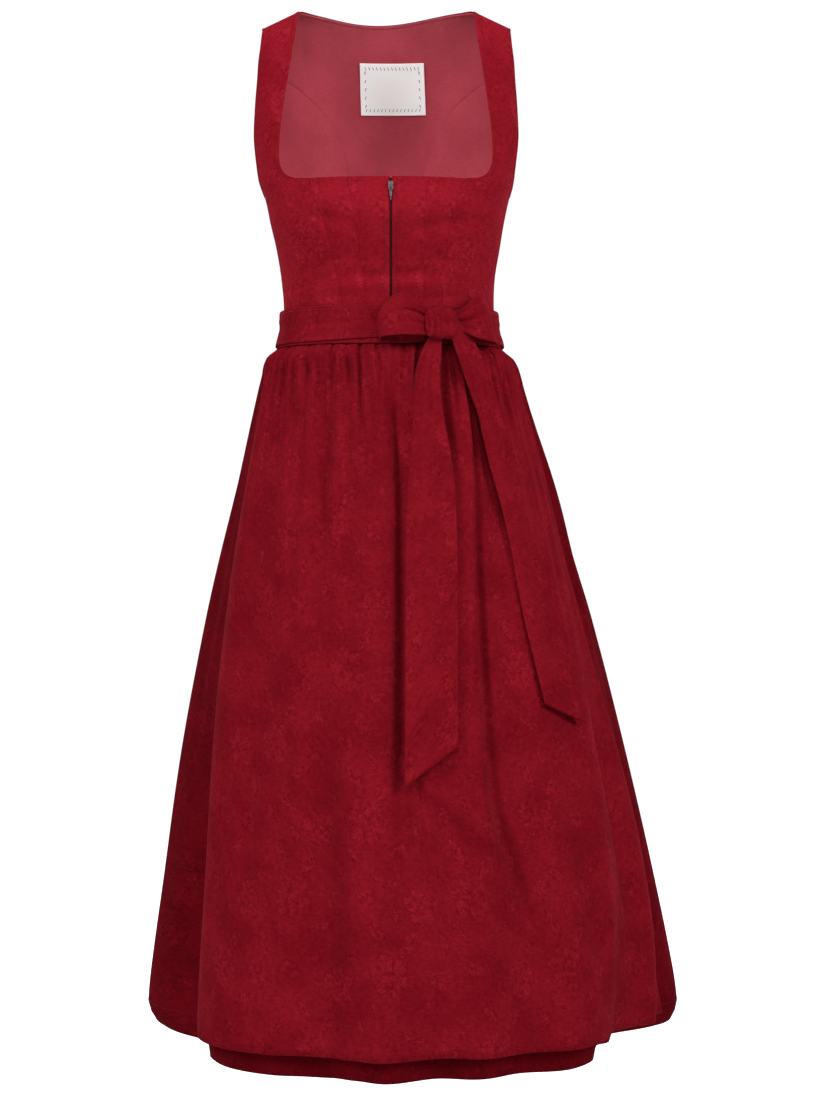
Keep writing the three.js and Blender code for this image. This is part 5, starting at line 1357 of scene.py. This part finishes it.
def beads(name, middle, long_way, up_way, half_long, half_wide, half_tall, finish, around):
    """Many small rounded beads in one mesh: rings of an ellipse at -1, -0.62, 0.62 and 1 along
    each bead, a third as big at its two ends, where they are closed flat."""
    along_bead = np.array([-1.0, -0.62, 0.62, 1.0])
    size = np.array([0.35, 1.0, 1.0, 0.35])
    turn = np.linspace(0, 2 * np.pi, around, endpoint=False)
    side_way = np.cross(long_way, up_way)
    side_way /= np.maximum(np.linalg.norm(side_way, axis=1, keepdims=True), 1e-9)
    up_way = np.cross(side_way, long_way)
    up_way /= np.maximum(np.linalg.norm(up_way, axis=1, keepdims=True), 1e-9)
    ring = (along_bead[:, None] + 0 * turn, size[:, None] * np.cos(turn), size[:, None] * np.sin(turn))
    points = middle[:, None]
    for part, way, half in zip(ring, (long_way, side_way, up_way), (half_long, half_wide, half_tall)):
        points = points + part.reshape(1, -1, 1) * way[:, None] * half
    number = np.arange(4 * around).reshape(4, around)
    beside = np.roll(number, -1, axis=1)
    quads = np.stack([number[:-1], beside[:-1], beside[1:], number[1:]], -1).reshape(-1, 4)
    start = (np.arange(len(middle)) * 4 * around)[:, None, None]
    faces = (quads[None] + start).reshape(-1, 4).tolist()
    faces += (number[0, ::-1][None] + start[:, 0]).tolist() + (number[3][None] + start[:, 0]).tolist()
    made = smooth_piece(name, points.reshape(-1, 3), faces, (finish,))
    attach(made, "garment")
    return made


coil_nylon = flecked("coil_nylon", 900.0, (44, 4, 10), (66, 9, 17), (0.5, 0.62), 0.2, 0.12)
# The coil's turns: left and right ones take turns down the chain, each reaching past the middle.
z = np.arange(ZIP_TOP - 1.0, ZIP_BOTTOM + 1.0, -COIL_PITCH / 2)
sign = np.where(np.arange(len(z)) % 2 == 0, -1.0, 1.0)
angle = angle_at(ZIP_X + 0.45 * sign, z)
sunk = np.minimum(dented(np.full(len(z), ZIP_X), z, FRONT_DENTS), 0.0)
middle = bodice_off(angle, z, sunk - 0.55)
outward = bodice_off(angle, z, sunk + 0.45) - middle
across = np.stack([np.ones(len(z)), 0 * z, 0.12 * sign], axis=-1)
coil = beads("zip_coil", middle, across, outward, 1.38, 0.46, 0.42, coil_nylon, around=8)
core = zip_strip("zip_core", -CHAIN_HALF, CHAIN_HALF, 0.75, 0.65, coil_nylon, columns=8)
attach(core, "garment")
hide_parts("zip_chain")

zip_nickel, tree, output = blank_material("zip_nickel")
spot = node(tree, "ShaderNodeTexCoord").outputs["Object"]
tarnish = noise(tree, spot, 420.0, 4.0)
brushed = node(tree, "ShaderNodeMapping", {"Vector": spot, "Scale": (9000.0, 9000.0, 500.0)})
colour = mixed(ramp(tarnish, 0.35, 0.7), rgb(96, 91, 93), rgb(140, 134, 136))
painted(output, colour, ramp(tarnish, 0.3, 0.7, 0.56, 0.44), noise(tree, brushed.outputs[0], 1.0, 2.0),
        0.15, 0.0001, {"Metallic": 1.0})


def rounded_metal(name, solid, body, width, slim):
    """A copy of a metal solid, slimmed towards the zip's middle, with its doubles merged and every
    edge rounded by a bevel."""
    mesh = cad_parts[solid].data.copy()
    mesh.name = name
    work = bmesh.new()
    work.from_mesh(mesh)
    bmesh.ops.remove_doubles(work, verts=work.verts, dist=1e-6)
    bmesh.ops.dissolve_limit(work, angle_limit=0.02, verts=work.verts, edges=work.edges)
    for vertex in work.verts:
        vertex.co.x = ZIP_X * MM + (vertex.co.x - ZIP_X * MM) * slim
    work.to_mesh(mesh)
    work.free()
    mesh.materials.clear()
    mesh.materials.append(zip_nickel)
    made = bpy.data.objects.new(name, mesh)
    scene.collection.objects.link(made)
    bevel = made.modifiers.new("worn_edges", "BEVEL")
    bevel.width = width * MM
    bevel.segments = 2
    bevel.limit_method = "ANGLE"
    mesh.shade_smooth()
    made.modifiers.new("flat_faces", "WEIGHTED_NORMAL")
    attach(made, body)
    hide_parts(solid)
    return made


rounded_metal("slider", "zip_slider", "garment", 0.25, 0.8)
rounded_metal("pull", "zip_pull", "pull", 0.18, 0.62)

# ---------------------------------------------------------------------------------------------
# Topstitching: lockstitch in matching thread along the zip, the straps' edges, the band, the
# ties' edges, the apron's sides and both hems. Each stitch is a small bead half sunk in.
# ---------------------------------------------------------------------------------------------
STITCH_LONG = 2.3
STITCH_STEP = 3.0
BESIDE_ZIP = 7.3
thread = flecked("thread", 700.0, (112, 12, 22), (142, 20, 32), (0.6, 0.6), 0.3, 0.2)
# The skirt's thread is as dark as the skirt's cloth, so it carries the same painted shade.
skirt_thread = flecked("skirt_thread", 700.0, (74, 6, 14), (90, 9, 18), (0.6, 0.6), 0.3, 0.2)


def stitched(name, lines, finish=None):
    """Stitches at even steps along lines. Each line is a run of points on the cloth and the same
    points a millimetre above it."""
    middles, alongs, ups = [], [], []
    for on_cloth, above in lines:
        gone = np.concatenate([[0.0], np.cumsum(np.linalg.norm(np.diff(on_cloth, axis=0), axis=1))])
        stops = np.arange(STITCH_STEP, gone[-1] - STITCH_STEP / 2, STITCH_STEP)
        at = lambda grid, stop: np.stack([np.interp(stop, gone, grid[:, i]) for i in range(3)], axis=-1)
        ahead = at(on_cloth, stops + 0.4) - at(on_cloth, stops - 0.4)
        middles.append(at(on_cloth, stops))
        alongs.append(ahead / np.maximum(np.linalg.norm(ahead, axis=1, keepdims=True), 1e-9))
        ups.append(at(above, stops) - at(on_cloth, stops))
    piece = beads(name, np.concatenate(middles), np.concatenate(alongs), np.concatenate(ups),
                  STITCH_LONG / 2, 0.3, 0.3, finish or thread, around=5)
    return piece


def line_on(surface, *place, lift):
    """A stitch line on a surface: its points at a lift, and the points a millimetre above."""
    return surface(*place, lift), surface(*place, lift + 1)


lines = []
z = np.linspace(-208.5, BAND_TOP + 3.0, 120)
for x in (ZIP_X - BESIDE_ZIP, ZIP_X + BESIDE_ZIP):
    lines.append(line_on(bodice_off, angle_at(x, z), z, lift=dented(x, z, FRONT_DENTS) + 0.08))
for side, sign in SIDES:
    (angle_in, z_in), (angle_out, z_out) = strap_edges(sign, 260)
    span = np.linalg.norm(form(angle_in, z_in) - form(angle_out, z_out), axis=-1)
    for share in (EDGE_STITCH / span, 1 - EDGE_STITCH / span):
        z = z_in + (z_out - z_in) * share
        angle = angle_in + (angle_out - angle_in) * share
        lines.append(line_on(bodice_off, angle, z, lift=-0.02 + 0 * z))
for side, sign in SIDES:
    x = np.linspace(ZIP_X + sign * 9, sign * 92, 90)
    z = np.full(90, FRONT_SEAMS["z"][0] - EDGE_STITCH)
    lines.append(line_on(bodice_off, angle_at(x, z), z, lift=dented(x, z, FRONT_DENTS) - 0.02))
stitched("bodice_stitches", lines)

lines = []
angle = np.linspace(-BAND_END + 1, BAND_END - 1, 300)
for height in (BAND_TOP - BAND_STITCH, BAND_BOTTOM + BAND_STITCH):
    lines.append(line_on(band_point, angle, np.full(300, height), lift=BAND_IN + TIE_WALL - 0.22))
for name, rows, direction in (("left", TIE_LEFT, -1), ("right", TIE_RIGHT, 1)):
    turn = np.linspace(2, rows["turn"][-1] - 3, 500)
    for share in (0.09, 0.91):
        z = along(rows, "middle", turn, "turn") + (0.5 - share) * along(rows, "tall", turn, "turn")
        lift = BAND_IN + (TIE_IN - BAND_IN) * along(rows, "layer", turn, "turn") + TIE_WALL - 0.1
        lift = lift + tie_relief(turn, share, TIE_CREASES[name])
        lines.append(line_on(band_point, direction * (BAND_END + turn), z, lift=lift))
stitched("band_stitches", lines)


def hem_line(angle_of, first, last, height, lift, clear=None):
    """A stitch line a given height above a hem. clear: how far the cloth stands off, by line."""
    line = np.linspace(first, last, 900)
    z = np.full(900, height)
    lift = lift + (clear(line, z) if clear else 0.0)
    return line_on(hanging, angle_of(line, z), z, line, lift=lift)


lines = [hem_line(front_angle, 0.6, APRON_LINES - 0.6, APRON_HEM + APRON_TURNED, APRON_WALL - 0.12,
                  apron_clear)]
for line in (0.75, APRON_LINES - 0.75):
    z = np.linspace(BAND_BOTTOM - 3, APRON_HEM + 2, 600)
    line = np.full(600, line)
    lift = apron_clear(line, z) + APRON_WALL + 0.1
    lines.append(line_on(hanging, front_angle(line, z), z, line, lift=lift))
stitched("apron_stitches", lines)
lines = [hem_line(angle_of, first, last, SKIRT_HEM + HEM_TURNED, -0.12) for angle_of, first, last in (
    (front_angle, -MARGIN_LINES + 0.2, -0.6),
    (front_angle, APRON_LINES + 0.6, APRON_LINES + MARGIN_LINES - 0.2),
    (back_angle, 0.2, BACK_LINES - 0.1),
    (back_angle, BACK_LINES + 0.1, 2 * BACK_LINES - 0.2))]
stitched("skirt_stitches", lines, skirt_thread)
